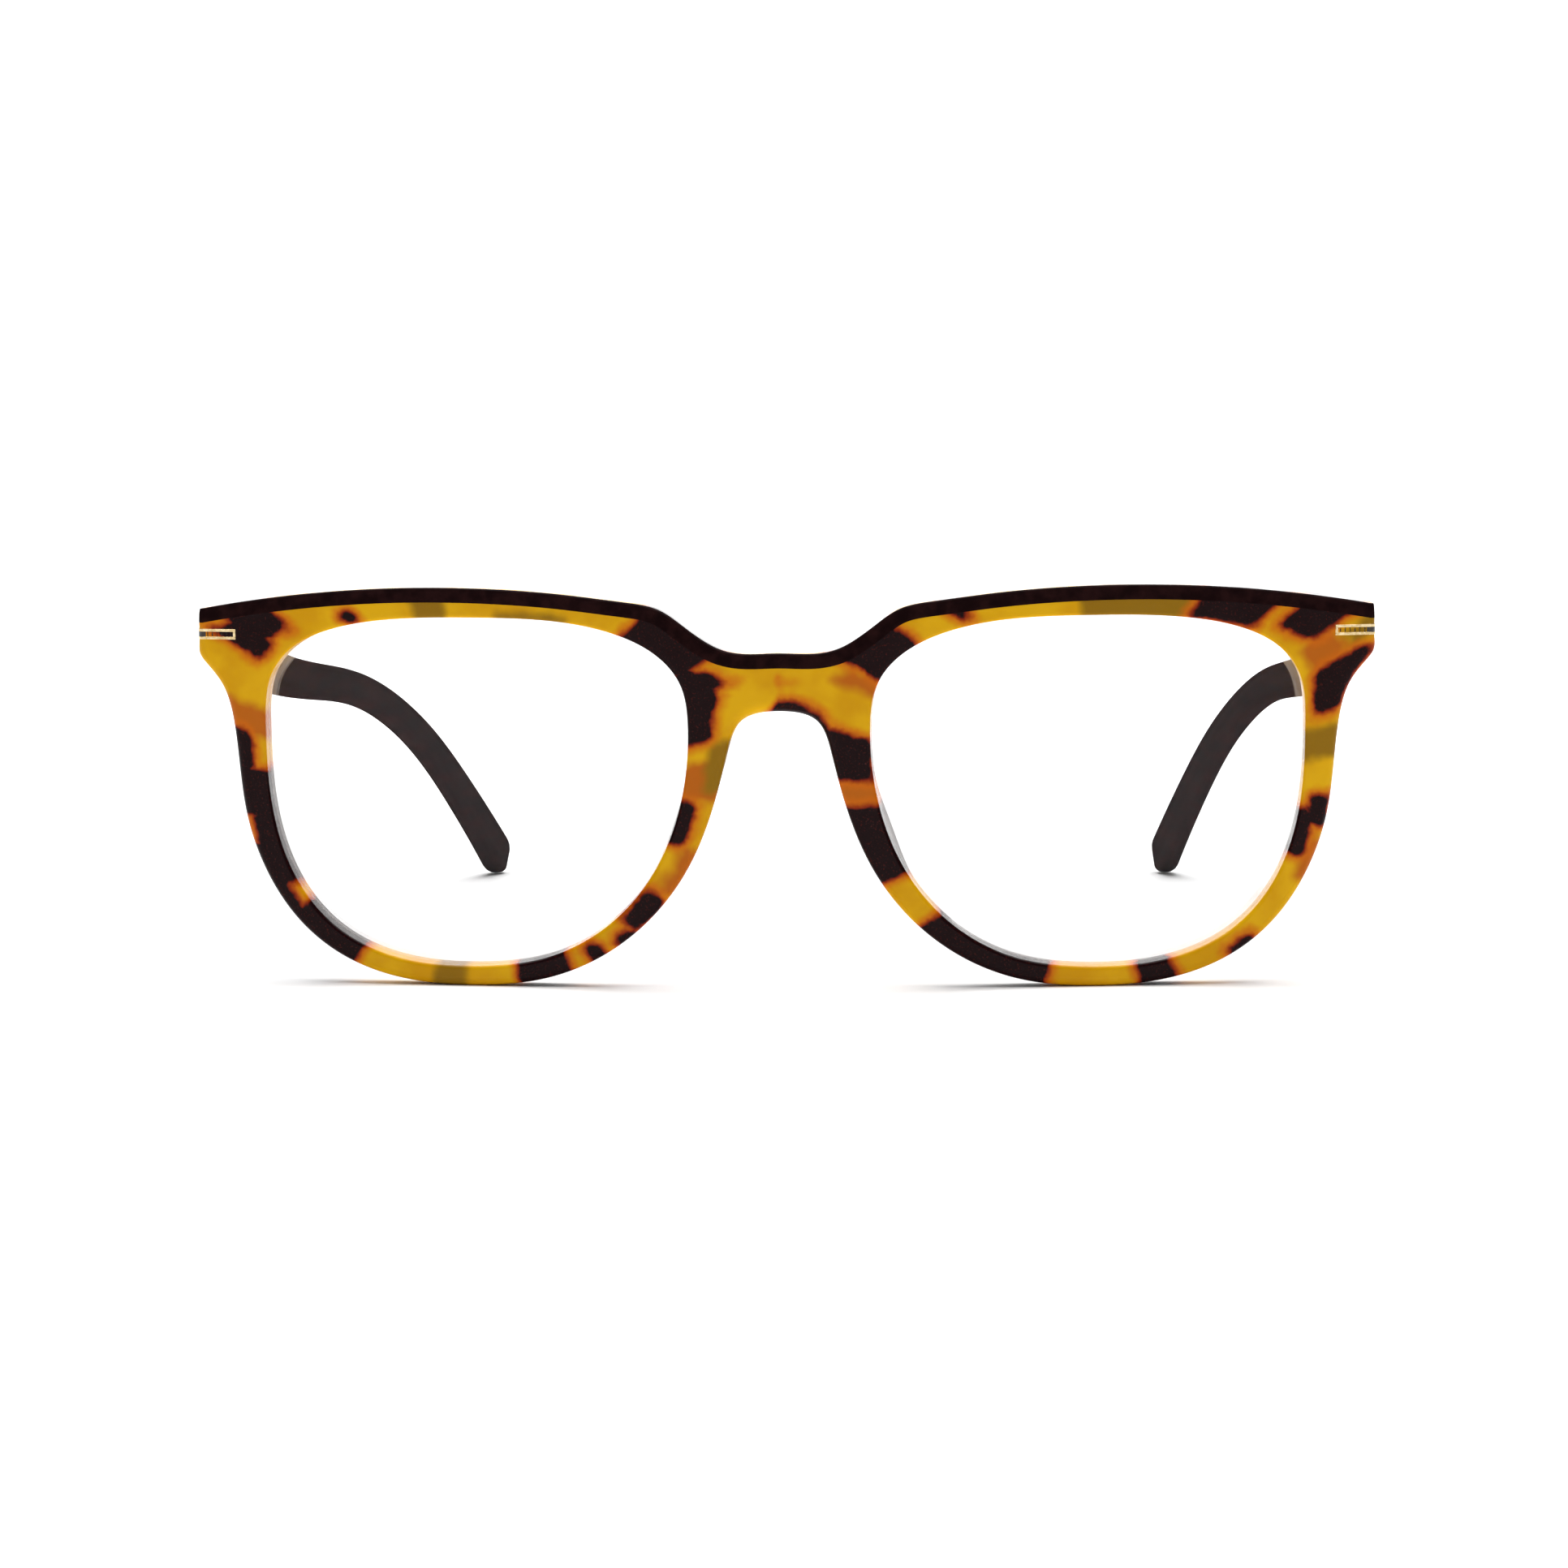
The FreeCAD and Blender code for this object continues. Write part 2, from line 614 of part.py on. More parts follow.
def main():
    os.makedirs("parts", exist_ok=True)
    pieces = build_front()
    side = build_side()
    for name, piece in side.items():
        pieces["left_" + name] = piece
        pieces["right_" + name] = mirror(piece)
    for end in ("left_", "right_"):
        pieces["front_frame"] = pieces["front_frame"].cut(pieces[end + "front_hinge"])
    whole = Part.makeCompound([pieces["front_frame"], pieces["left_temple"], pieces["brow_strip"]])
    bounds = whole.optimalBoundingBox(False, False)
    shift = Vector(0, -0.5 * (bounds.YMin + bounds.YMax), -GROUND)
    for name, piece in pieces.items():
        piece.translate(shift)
        piece.exportStep("parts/%s.step" % name)
    print("shift", shift, "size", bounds.XLength, bounds.YLength, bounds.ZLength)
    return pieces


if __name__ == "__main__":
    main()
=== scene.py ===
"""Looks of a pair of tortoise reading glasses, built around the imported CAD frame.

Shapes are worked out in the design's own millimetres: x across the face, u up the front, n the
depth behind its face, y back along the temples. The front is bent about an upright axis and
leans forward. fit() turns design millimetres into the frame's metres, with the hinge pin's
place in the record as the link between the two.
"""
import json
import math

import bmesh
import bpy
import numpy as np
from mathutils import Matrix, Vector
from mathutils.geometry import delaunay_2d_cdt
from mathutils.kdtree import KDTree


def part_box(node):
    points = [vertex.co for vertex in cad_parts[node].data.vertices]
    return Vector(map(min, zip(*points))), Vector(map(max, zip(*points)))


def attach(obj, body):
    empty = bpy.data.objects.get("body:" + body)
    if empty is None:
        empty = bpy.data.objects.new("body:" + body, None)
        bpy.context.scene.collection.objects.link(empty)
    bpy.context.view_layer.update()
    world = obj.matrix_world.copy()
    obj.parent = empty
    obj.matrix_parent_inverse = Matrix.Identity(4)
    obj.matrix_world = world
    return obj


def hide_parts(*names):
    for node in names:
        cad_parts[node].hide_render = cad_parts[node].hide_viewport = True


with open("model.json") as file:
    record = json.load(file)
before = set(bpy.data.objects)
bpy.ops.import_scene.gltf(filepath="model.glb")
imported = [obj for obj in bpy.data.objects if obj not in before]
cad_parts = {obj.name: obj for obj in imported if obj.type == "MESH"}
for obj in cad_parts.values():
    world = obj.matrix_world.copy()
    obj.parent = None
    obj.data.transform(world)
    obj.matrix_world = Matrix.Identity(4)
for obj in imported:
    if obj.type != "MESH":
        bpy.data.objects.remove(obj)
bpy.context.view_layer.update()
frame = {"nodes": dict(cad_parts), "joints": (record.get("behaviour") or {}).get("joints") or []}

# ---- design sizes, millimetres ---------------------------------------------------------
MM = 0.001
FRONT_THICK = 4.2
WRAP_R = 300.0
FRONT_TILT = math.radians(2.0)
HALF_WIDTH = 70.0
BRIDGE_TOP = 39.6
ARCH_TOP = 32.7
PIN = (64.0, 14.6, 39.5)
BUTT_Y = 13.0

EYE_WIDTH = 51.0         # lens opening, across its widest line
BRIDGE_GAP = 21.4        # between the two lens openings
LENS_LOW = 2.4           # heights of the opening's bottom, widest line and top
LENS_WIDEST = 31.0
LENS_TOP = 43.8
# Squareness of the quarters: outer top, inner top, inner bottom, outer bottom.
LENS_POWERS = (3.0, 2.6, 2.2, 2.65)
LENS_SAMPLES = 20
LENS_LEVEL = 23.0        # height of the lens's middle
LENS_MIDDLE = 0.5 * (BRIDGE_GAP + EYE_WIDTH)
RIM_BOTTOM = 2.4         # rim's width under the lens, and its growth per millimetre of height
RIM_GROWTH_OUTER = 0.06
RIM_GROWTH_INNER = 0.075
RIM_STEP = 15
END_LOW = 39.4           # the end piece's side is upright down to here
END_SWEEP = [(69.0, 37.9), (67.2, 35.6)]
NOSE_ARCH = [(6.0, 28.0), (4.5, 31.5)]
BROW_R = 155.0           # the top edge is an arc, highest at BROW_X
BROW_X = 41.0
BROW_TOP = 47.3
STEP_START = 4.5         # between these it rises from the bridge to that arc
STEP_END = 15.5
TOP_AT = (5.0, 7.0, 9.0, 11.5, 14.0, 18.0, 26.0, 36.0, 46.0, 57.0)
INSET = 0.05             # the looks stay this far inside the outline of the CAD front

FACE_ROUND = 0.75        # rounded edge of the front's face, and what it grows to at the arch
ARCH_ROUND = 1.35
LENS_ROUND = 0.40        # rounded edge of the lens openings
BACK_ROUND = 0.80
STRIP_WIDTH = 1.65       # brow strip: its bevel, seen from the front
STRIP_FALL = 0.70        # how far the bevel falls back
STRIP_DEPTH = 1.70
STRIP_PROUD = 0.02
PAD_HEIGHT = 5.0         # nose pads
PAD_MIDDLE = (12.0, 19.8)
PAD_HALF_LENGTH = 8.4
PAD_LEAN = math.radians(21.6)
PAD_FLARE = 0.16
PAD_SLOPE = (-1.2, 1.3)  # where a pad's lens side falls away, from its middle
PAD_ROOT = 3.4           # depth behind the face from which the pads flare apart
PAD_REACH = 20.0         # the pads lie within this distance of the middle
LUG_INNER = (60.9, 62.4)  # the hinge lugs rise between these, across and upwards
LUG_LOWER = (36.0, 37.3)

LENS_R = 220.0
LENS_THICK = 1.8
LENS_SET = 0.9
LENS_RING = 0.9          # width of the frosted ring round each lens
LENS_BEVEL = 0.45        # how far the lens's edge is bevelled back, and over what width
LENS_BEVEL_WIDTH = 0.65

TRIM_INNER_X = 65.2
TRIM_LOW, TRIM_HIGH = 41.0, 42.25
TRIM_LINE = 0.33
TRIM_BACK_Y = 12.0
TRIM_PROUD = 0.03
TRIM_SUNK = 0.25

TEMPLE_AT = (13.15, 22.0, 31.0, 54.0, 76.0, 90.0, 104.0, 120.0, 136.0)
TEMPLE_START_X = 67.2
TEMPLE_START_Z = 39.8
TOE = 0.078              # millimetres inwards per millimetre back, and the extra past the bend
TOE_EAR = 0.12
TOE_BEND = (70.0, 100.0)
FALL = 0.10              # millimetres down per millimetre back, with the extra at both ends
FALL_SHOULDER = 0.12
SHOULDER_BEND = (20.0, 38.0)
FALL_EAR = 0.553
EAR_BEND = (72.0, 120.0)
WAIST_Y = 90.0           # where the temple is slimmest, with its height and thickness there
WAIST_HEIGHT = 4.5
WAIST_THICK = 3.5
HEIGHT_GAIN = (1.5, 1.5)  # how much more it is at the hinge end and at the tip
THICK_GAIN = (0.9, 0.2)
TIP_LENGTH = 3.75

SIDES = (("left", 1.0), ("right", -1.0))

# The tortoise pattern, as patches round each rim: side (+1 is +X), first and last degree round
# the lens (0 is outwards, 90 up, 180 at the nose), and how far out across the rim they run
# (0 is the lens's edge, 1 the outer edge).
PATCH_CORNER = 0.8
PATCH_FAR = 6.0
CROSS_FADE = 1.2         # how fast a patch gives way past the middle of the bridge
EDGE = 1.5               # past the outer edge
PATCHES = {
    "dark": [(-1, 31, 36, 0.3, 0.9), (-1, 34.5, 41, 0.5, EDGE), (-1, 53, 56, 0.1, 0.6),
             (-1, 5, 14, 0.5, EDGE), (-1, -6, 5, -0.5, EDGE), (-1, -26, -6, -0.5, 0.75),
             (-1, -53, -14, 0.45, EDGE), (-1, -53, -33, -0.5, EDGE),
             (-1, 241, 256, -0.5, EDGE), (-1, 231, 235, 0.3, EDGE), (-1, 221, 226, 0.65, EDGE),
             (-1, 209, 220, 0.15, 0.95), (-1, 182, 193, -0.5, 0.5),
             (-1, 134, 150, -0.5, EDGE), (-1, 150, 167, -0.5, 0.5), (-1, 152, 156, 0.3, 0.75),
             (1, 139, 151, -0.5, EDGE), (1, 124, 127, 0.5, EDGE), (1, 45, 60, 0.1, EDGE),
             (1, 34, 41, 0.45, EDGE), (1, 18, 27, 0.3, 0.95), (1, -9, -2, 0.4, 0.95),
             (1, -18, -6, -0.2, 0.5), (1, 311, 318, 0.65, EDGE), (1, 286, 295, -0.5, EDGE),
             (1, 219, 257, -0.5, EDGE), (1, 183, 203, -0.5, EDGE), (1, 166, 176, 0.0, EDGE),
             (1, 160, 168, 0.9, EDGE)],
    "olive": [(-1, 71, 82, -0.5, EDGE), (-1, 97, 120, -0.5, 0.6), (-1, 273, 284, -0.5, EDGE),
              (-1, 168, 180, 0.5, EDGE), (1, 60, 93, -0.5, EDGE), (1, 7, 15, -0.5, EDGE),
              (1, 28, 32, 0.7, EDGE)],
    "warm": [(-1, 13, 21, -0.5, EDGE), (-1, 172, 182, -0.5, EDGE), (-1, 193, 208, 0.5, EDGE),
             (-1, -12, -5, 0.6, EDGE), (1, 176, 183, -0.5, EDGE), (1, 151, 156, -0.5, 0.8),
             (1, 26, 34, 0.2, 0.7), (1, -24, -12, 0.5, EDGE)],
}


# ---- placing things --------------------------------------------------------------------
def design_shift():
    """From the design's own origin to the frame's, found from the hinge pin."""
    pins = [j["pos_m"] for j in frame["joints"] if j["name"] == "left_temple_fold"]
    return np.array([0.0, pins[0][1] - PIN[1] * MM, pins[0][2] - PIN[2] * MM])


SHIFT = design_shift()


def fit(points):
    """Design millimetres, as they stand, to the frame's metres."""
    return np.asarray(points, float) * MM + SHIFT


def bend(x, u, n):
    """A point of the flat front, to design millimetres as it stands, bent and leaning."""
    y = WRAP_R - np.sqrt((WRAP_R - n) ** 2 - x ** 2)
    cosine, sine = math.cos(FRONT_TILT), math.sin(FRONT_TILT)
    return np.stack([x, y * cosine - u * sine, y * sine + u * cosine], -1)


def make_object(name, points, faces, materials, face_slots=None, sharp=38.0, marks=None):
    """A mesh object from points in metres, smooth but for edges sharper than an angle."""
    mesh = bpy.data.meshes.new(name)
    mesh.from_pydata([tuple(p) for p in points], [], [tuple(f) for f in faces])
    for material in materials:
        mesh.materials.append(material)
    if face_slots is not None:
        mesh.polygons.foreach_set("material_index", face_slots)
    for mark, values in (marks or {}).items():
        mesh.attributes.new(mark, "FLOAT", "POINT").data.foreach_set("value", values)
    clean(mesh, sharp)
    piece = bpy.data.objects.new(name, mesh)
    bpy.context.scene.collection.objects.link(piece)
    return piece


def clean(mesh, sharp):
    """Drops stray points, faces all sides outwards and marks sharp edges."""
    bm = bmesh.new()
    bm.from_mesh(mesh)
    loose = [v for v in bm.verts if not v.link_faces]
    bmesh.ops.delete(bm, geom=loose, context="VERTS")
    bmesh.ops.remove_doubles(bm, verts=bm.verts, dist=1e-7)
    bmesh.ops.recalc_face_normals(bm, faces=bm.faces)
    limit = math.radians(sharp)
    for face in bm.faces:
        face.smooth = True
    for edge in bm.edges:
        edge.smooth = len(edge.link_faces) != 2 or edge.calc_face_angle(0.0) < limit
    bm.to_mesh(mesh)
    bm.free()


# ---- curves ----------------------------------------------------------------------------
def spline(points, closed=False, step=0.35):
    """A smooth curve through the points, as evenly spaced samples of it."""
    knots = np.array(points + points[:1] if closed else points, float)
    gaps = np.linalg.norm(np.diff(knots, axis=0), axis=1)
    at = np.concatenate([[0.0], np.cumsum(gaps)])
    count = len(knots)
    system = np.zeros((count, count))
    right = np.zeros((count, knots.shape[1]))
    slopes = np.diff(knots, axis=0) / gaps[:, None]
    for i in range(1, count - 1):
        system[i, i - 1:i + 2] = gaps[i - 1], 2 * (gaps[i - 1] + gaps[i]), gaps[i]
        right[i] = 6 * (slopes[i] - slopes[i - 1])
    if closed:
        system[0, 0], system[0, -1] = 1, -1
        system[-1, 0], system[-1, 1] = 2 * gaps[0], gaps[0]
        system[-1, -2], system[-1, -1] = gaps[-1], 2 * gaps[-1]
        right[-1] = 6 * (slopes[0] - slopes[-1])
    else:
        system[0, 0], system[0, 1] = 1, -1
        system[-1, -1], system[-1, -2] = 1, -1
    bends = np.linalg.solve(system, right)
    fine = np.linspace(0, at[-1], max(8, int(at[-1] / 0.05)))
    k = np.clip(np.searchsorted(at, fine, side="right") - 1, 0, count - 2)
    a = (at[k + 1] - fine)[:, None]
    b = (fine - at[k])[:, None]
    h = gaps[k][:, None]
    curve = (bends[k] * a ** 3 + bends[k + 1] * b ** 3) / (6 * h)
    curve += (knots[k] / h - bends[k] * h / 6) * a + (knots[k + 1] / h - bends[k + 1] * h / 6) * b
    return even(curve, step)


def even(curve, step):
    """The same curve with evenly spaced samples."""
    run = np.concatenate([[0.0], np.cumsum(np.linalg.norm(np.diff(curve, axis=0), axis=1))])
    wanted = np.linspace(0, run[-1], max(3, int(round(run[-1] / step)) + 1))
    return np.stack([np.interp(wanted, run, curve[:, i]) for i in range(curve.shape[1])], -1)


def mirrored(points):
    return [(-x, z) for x, z in reversed(points)]


def offset(curve, distance):
    """The curve moved to the left of its direction of travel."""
    along = np.gradient(curve, axis=0)
    along /= np.linalg.norm(along, axis=1)[:, None]
    return curve + distance * np.stack([-along[:, 1], along[:, 0]], -1)


def loop_offset(loop, distance):
    """A closed loop, its last sample next to its first, moved to the left of its travel."""
    along = np.roll(loop, -1, axis=0) - np.roll(loop, 1, axis=0)
    along /= np.linalg.norm(along, axis=1)[:, None]
    return loop + distance * np.stack([-along[:, 1], along[:, 0]], -1)


class Edge:
    """Distances to a sampled curve."""

    def __init__(self, curve, closed=False):
        self.curve = np.vstack([curve, curve[:1]]) if closed else curve
        self.tree = KDTree(len(self.curve))
        for index, (x, u) in enumerate(self.curve):
            self.tree.insert((x, u, 0.0), index)
        self.tree.balance()

    def distance(self, points):
        near = np.array([self.tree.find((x, u, 0.0))[1] for x, u in points])
        best = np.full(len(points), np.inf)
        for shift in (-1, 0):
            first = np.clip(near + shift, 0, len(self.curve) - 2)
            start, end = self.curve[first], self.curve[first + 1]
            run = end - start
            share = ((points - start) * run).sum(1) / np.maximum((run ** 2).sum(1), 1e-12)
            foot = start + np.clip(share, 0, 1)[:, None] * run
            best = np.minimum(best, np.linalg.norm(points - foot, axis=1))
        return best


def inside(points, loop):
    """Which points lie inside a closed loop."""
    result = np.zeros(len(points), bool)
    following = np.roll(loop, -1, axis=0)
    for (x0, u0), (x1, u1) in zip(loop, following):
        if u0 == u1:
            continue
        crosses = (points[:, 1] > u0) != (points[:, 1] > u1)
        where = x0 + (points[:, 1] - u0) * (x1 - x0) / (u1 - u0)
        result ^= crosses & (points[:, 0] < where)
    return result


def step_up(value, low, high):
    t = np.clip((value - low) / (high - low), 0, 1)
    return t * t * (3 - 2 * t)


def rounding(distance, radius):
    """How far a rounded edge falls away at a distance in from it."""
    inner = np.clip(radius - distance, 0, radius)
    return radius - np.sqrt(radius ** 2 - inner ** 2)


# ---- outlines of one half of the flat front --------------------------------------------
def lens_point(degrees):
    """A point of the lens opening, whose quarters are superellipses that share their axes."""
    power = 2.0 / LENS_POWERS[int(degrees % 360 // 90)]
    cosine = math.cos(math.radians(degrees))
    sine = math.sin(math.radians(degrees))
    reach = LENS_TOP - LENS_WIDEST if sine > 0 else LENS_WIDEST - LENS_LOW
    return (LENS_MIDDLE + math.copysign(abs(cosine) ** power, cosine) * 0.5 * EYE_WIDTH,
            LENS_WIDEST + math.copysign(abs(sine) ** power, sine) * reach)


def rim_point(degrees):
    """A point of the rim's outer edge, square out from the lens opening."""
    x, u = lens_point(degrees)
    after, before = lens_point(degrees - 1), lens_point(degrees + 1)
    along = (after[0] - before[0], after[1] - before[1])
    growth = RIM_GROWTH_OUTER if x > LENS_MIDDLE else RIM_GROWTH_INNER
    width = RIM_BOTTOM + growth * (u - LENS_LOW)
    length = math.hypot(*along)
    return x - width * along[1] / length, u + width * along[0] / length


def top_height(x):
    """Height of the top edge: the brow's arc, and the step down from it to the bridge."""
    arc = BROW_TOP - (x - BROW_X) ** 2 / (2 * BROW_R)
    share = min(max((x - STEP_START) / (STEP_END - STEP_START), 0.0), 1.0)
    return BRIDGE_TOP + (arc - BRIDGE_TOP) * share * share * (3 - 2 * share)


LENS_EDGE = [lens_point(90 - 360 * k / LENS_SAMPLES) for k in range(LENS_SAMPLES)]
CORNER = (HALF_WIDTH - 0.1, top_height(HALF_WIDTH - 0.1))
TOP_EDGE = [(x, top_height(x)) for x in TOP_AT]
END_SIDE = [(HALF_WIDTH, END_LOW + rise) for rise in (3.0, 1.5, 0.0)]
LOWER_EDGE = END_SIDE + END_SWEEP + [rim_point(-a) for a in range(0, 166, RIM_STEP)] + NOSE_ARCH


# ---- the front -------------------------------------------------------------------------
TOP_CURVE = spline([(-CORNER[0], CORNER[1])] + mirrored(TOP_EDGE) + [(0.0, BRIDGE_TOP)]
                   + TOP_EDGE + [CORNER])
LOW_CURVE = spline([CORNER] + LOWER_EDGE + [(0.0, ARCH_TOP)] + mirrored(LOWER_EDGE)
                   + [(-CORNER[0], CORNER[1])])
TOP_CURVE = offset(TOP_CURVE, -INSET)
LOW_CURVE = offset(LOW_CURVE, -INSET)
TOP_CURVE[[0, -1]] = LOW_CURVE[[-1, 0]]
LENS_LOOP = spline(LENS_EDGE, closed=True)[:-1]
LENS_LOOPS = [LENS_LOOP, LENS_LOOP[::-1] * np.array([-1.0, 1.0])]
STRIP_LINE = offset(TOP_CURVE, -STRIP_WIDTH)
STRIP_LINE = np.vstack([STRIP_LINE[:1] - [1.5, -0.2], STRIP_LINE, STRIP_LINE[-1:] + [1.5, -0.2]])
FACE_ROWS = (0.034, 0.134, 0.293, 0.5, 0.741, 1.0)


class Front:
    """The flat outline of the front cut into triangles, with its depths at every corner."""

    def __init__(self):
        self.outer = np.vstack([TOP_CURVE[:-1], LOW_CURVE[:-1]])
        self.top = Edge(TOP_CURVE)
        self.low = Edge(LOW_CURVE)
        self.lens = [Edge(loop, closed=True) for loop in LENS_LOOPS]
        self.points, self.triangles = self.triangulate()
        self.measure()

    def lens_distance(self, points):
        return np.minimum(*[edge.distance(points) for edge in self.lens])

    def outer_distance(self, points):
        return np.minimum(self.top.distance(points), self.low.distance(points))

    def keep(self, points, from_outer, from_lens):
        good = inside(points, self.outer)
        for loop in LENS_LOOPS:
            good &= ~inside(points, loop)
        good &= self.outer_distance(points) > from_outer * 0.97
        good &= self.lens_distance(points) > from_lens * 0.97
        return points[good]

    def rows(self):
        """Rows of points that follow the edges closely enough to round them well."""
        found = []
        for share in FACE_ROWS:
            gap = ARCH_ROUND * share
            found.append(self.keep(offset(LOW_CURVE, -gap), gap, LENS_ROUND))
            gap = LENS_ROUND * share
            for loop in LENS_LOOPS:
                for side in (gap, -gap):
                    found.append(self.keep(loop_offset(loop, side), 0.3, gap))
        for gap in (0.03, 0.1, 0.22, 0.4, 0.8, 1.25):
            found.append(self.keep(offset(TOP_CURVE, -gap), gap, LENS_ROUND))
        return found

    def fill(self):
        """Points between the edges: finer where the back swells into pads and lugs."""
        found = []
        for spacing, fine in ((0.5, False), (0.42, True)):
            x, u = np.meshgrid(np.arange(-69, 69, spacing), np.arange(0.5, 47, spacing * 0.866))
            x[1::2] += 0.5 * spacing
            grid = np.stack([x.ravel(), u.ravel()], -1)
            across = np.abs(grid[:, 0])
            near_pad = (across > 5) & (across < 17) & (grid[:, 1] > 8) & (grid[:, 1] < 31)
            near_lug = (across > 59.5) & (grid[:, 1] > 35)
            grid = grid[(near_pad | near_lug) == fine]
            grid = self.keep(grid, ARCH_ROUND + 0.15, LENS_ROUND + 0.2)
            line = np.interp(grid[:, 0], STRIP_LINE[:, 0], STRIP_LINE[:, 1])
            found.append(grid[np.abs(grid[:, 1] - line) > 0.2])
        return found

    def triangulate(self):
        chains = [(self.outer, True), (STRIP_LINE, False)] + [(loop, True) for loop in LENS_LOOPS]
        points, edges = [], []
        for chain, closed in chains:
            start = len(points)
            points += [Vector(p) for p in chain]
            edges += [(start + i, start + i + 1) for i in range(len(chain) - 1)]
            if closed:
                edges.append((len(points) - 1, start))
        for extra in self.rows() + self.fill():
            points += [Vector(p) for p in extra]
        result = delaunay_2d_cdt(points, edges, [], 0, 1e-4, False)
        corners = np.array([tuple(p) for p in result[0]])
        triangles = np.array(result[2])
        middles = corners[triangles].mean(1)
        good = inside(middles, self.outer)
        for loop in LENS_LOOPS:
            good &= ~inside(middles, loop)
        a, b, c = (corners[triangles[:, i]] for i in range(3))
        area = (b[:, 0] - a[:, 0]) * (c[:, 1] - a[:, 1]) - (b[:, 1] - a[:, 1]) * (c[:, 0] - a[:, 0])
        triangles[area < 0] = triangles[area < 0][:, ::-1]
        good &= np.abs(area) > 1e-9
        return corners, triangles[good]

    def measure(self):
        """Depth of the face and of the back at every corner, and which triangles are strip."""
        x, u = self.points[:, 0], self.points[:, 1]
        to_top = self.top.distance(self.points)
        to_low = self.low.distance(self.points)
        to_lens = self.lens_distance(self.points)
        arch = np.exp(-(x / 7.0) ** 2) * step_up(u, 22.0, 29.0)
        radius = FACE_ROUND + (ARCH_ROUND - FACE_ROUND) * arch
        self.face = np.maximum(rounding(to_low, radius), rounding(to_lens, LENS_ROUND))
        self.face = np.maximum(self.face, bevel(to_top))
        rim = np.minimum(to_top, to_low)
        self.back = FRONT_THICK + swelling(x, u)
        self.back -= np.maximum(rounding(rim, BACK_ROUND), rounding(to_lens, LENS_ROUND))
        middles = self.points[self.triangles].mean(1)
        line = np.interp(middles[:, 0], STRIP_LINE[:, 0], STRIP_LINE[:, 1])
        self.is_strip = middles[:, 1] > line
        outer_gap = np.minimum(np.maximum(to_top - STRIP_WIDTH, 0), to_low)
        width = to_lens + outer_gap + 1e-6
        self.marks = {name: patch_depth(patches, x, u, to_lens / width, width)
                      for name, patches in PATCHES.items()}


def bevel(distance):
    """The brow strip's slanting face, with a rounded top edge."""
    slope = STRIP_FALL * np.clip((STRIP_WIDTH - distance) / (STRIP_WIDTH - 0.25), 0, 1)
    return slope + 0.3 * (1 - np.sqrt(np.clip(1 - (1 - np.clip(distance / 0.25, 0, 1)) ** 2, 0, 1)))


def swelling(x, u):
    """How far the back stands out behind its plain surface, at the nose pads and end lugs."""
    across = np.abs(x)
    dx, du = across - PAD_MIDDLE[0], u - PAD_MIDDLE[1]
    along = -dx * math.sin(PAD_LEAN) + du * math.cos(PAD_LEAN)
    side = dx * math.cos(PAD_LEAN) + du * math.sin(PAD_LEAN)
    length = np.clip(1 - (along / PAD_HALF_LENGTH) ** 2, 0, 1) ** 1.2
    pad = PAD_HEIGHT * length * (1 - step_up(side, *PAD_SLOPE)) * (across < PAD_REACH)
    y = (BUTT_Y - 0.03 + u * math.sin(FRONT_TILT)) / math.cos(FRONT_TILT)
    lug = WRAP_R - np.sqrt(x ** 2 + (WRAP_R - y) ** 2) - FRONT_THICK
    lug = lug * step_up(across, *LUG_INNER) * step_up(u, *LUG_LOWER)
    return np.maximum(pad, lug)


def patch_depth(patches, x, u, share, width):
    """Millimetres inside the nearest patch's edge, negative outside all of them.

    share is how far out across the rim a point lies, and width is the rim's width there.
    """
    best = np.full(len(x), -PATCH_FAR)
    for side, start, end, inner, outer in patches:
        aside, above = side * x - LENS_MIDDLE, u - LENS_LEVEL
        degrees = np.degrees(np.arctan2(above, aside))
        turn = (degrees - 0.5 * (start + end) + 180) % 360 - 180
        along = np.radians(0.5 * (end - start) - np.abs(turn)) * np.hypot(aside, above)
        across = (0.5 * (outer - inner) - np.abs(share - 0.5 * (inner + outer))) * width
        beyond = [PATCH_CORNER - along, PATCH_CORNER - across]
        outside = np.hypot(np.maximum(beyond[0], 0), np.maximum(beyond[1], 0))
        depth = PATCH_CORNER - outside - np.minimum(np.maximum(*beyond), 0)
        best = np.maximum(best, depth - CROSS_FADE * np.maximum(-side * x, 0))
    return best


def lift(points, depth):
    """Corners of the flat front at their depths, flared apart at the nose pads."""
    x, u = points[:, 0], points[:, 1]
    flare = PAD_FLARE * np.clip(depth - PAD_ROOT, 0, None) * np.sign(x) * (np.abs(x) < PAD_REACH)
    return bend(x + flare, u, depth)


def side_edges(triangles):
    """Directed edges used by only one of the triangles."""
    pairs = np.vstack([triangles[:, [0, 1]], triangles[:, [1, 2]], triangles[:, [2, 0]]])
    known = set(map(tuple, pairs))
    return [(a, b) for a, b in known if (b, a) not in known]


def layered(levels, sheets, walls):
    """Points and faces of a solid made of copies of the flat corners at several depths."""
    count = len(levels[0])
    faces = []
    for level, triangles, flipped in sheets:
        chosen = triangles[:, ::-1] if flipped else triangles
        faces += [tuple(row) for row in chosen + level * count]
    for edges, chain in walls:
        for a, b in edges:
            for upper, lower in zip(chain, chain[1:]):
                faces.append((b + upper * count, a + upper * count,
                              a + lower * count, b + lower * count))
    return np.vstack(levels), faces


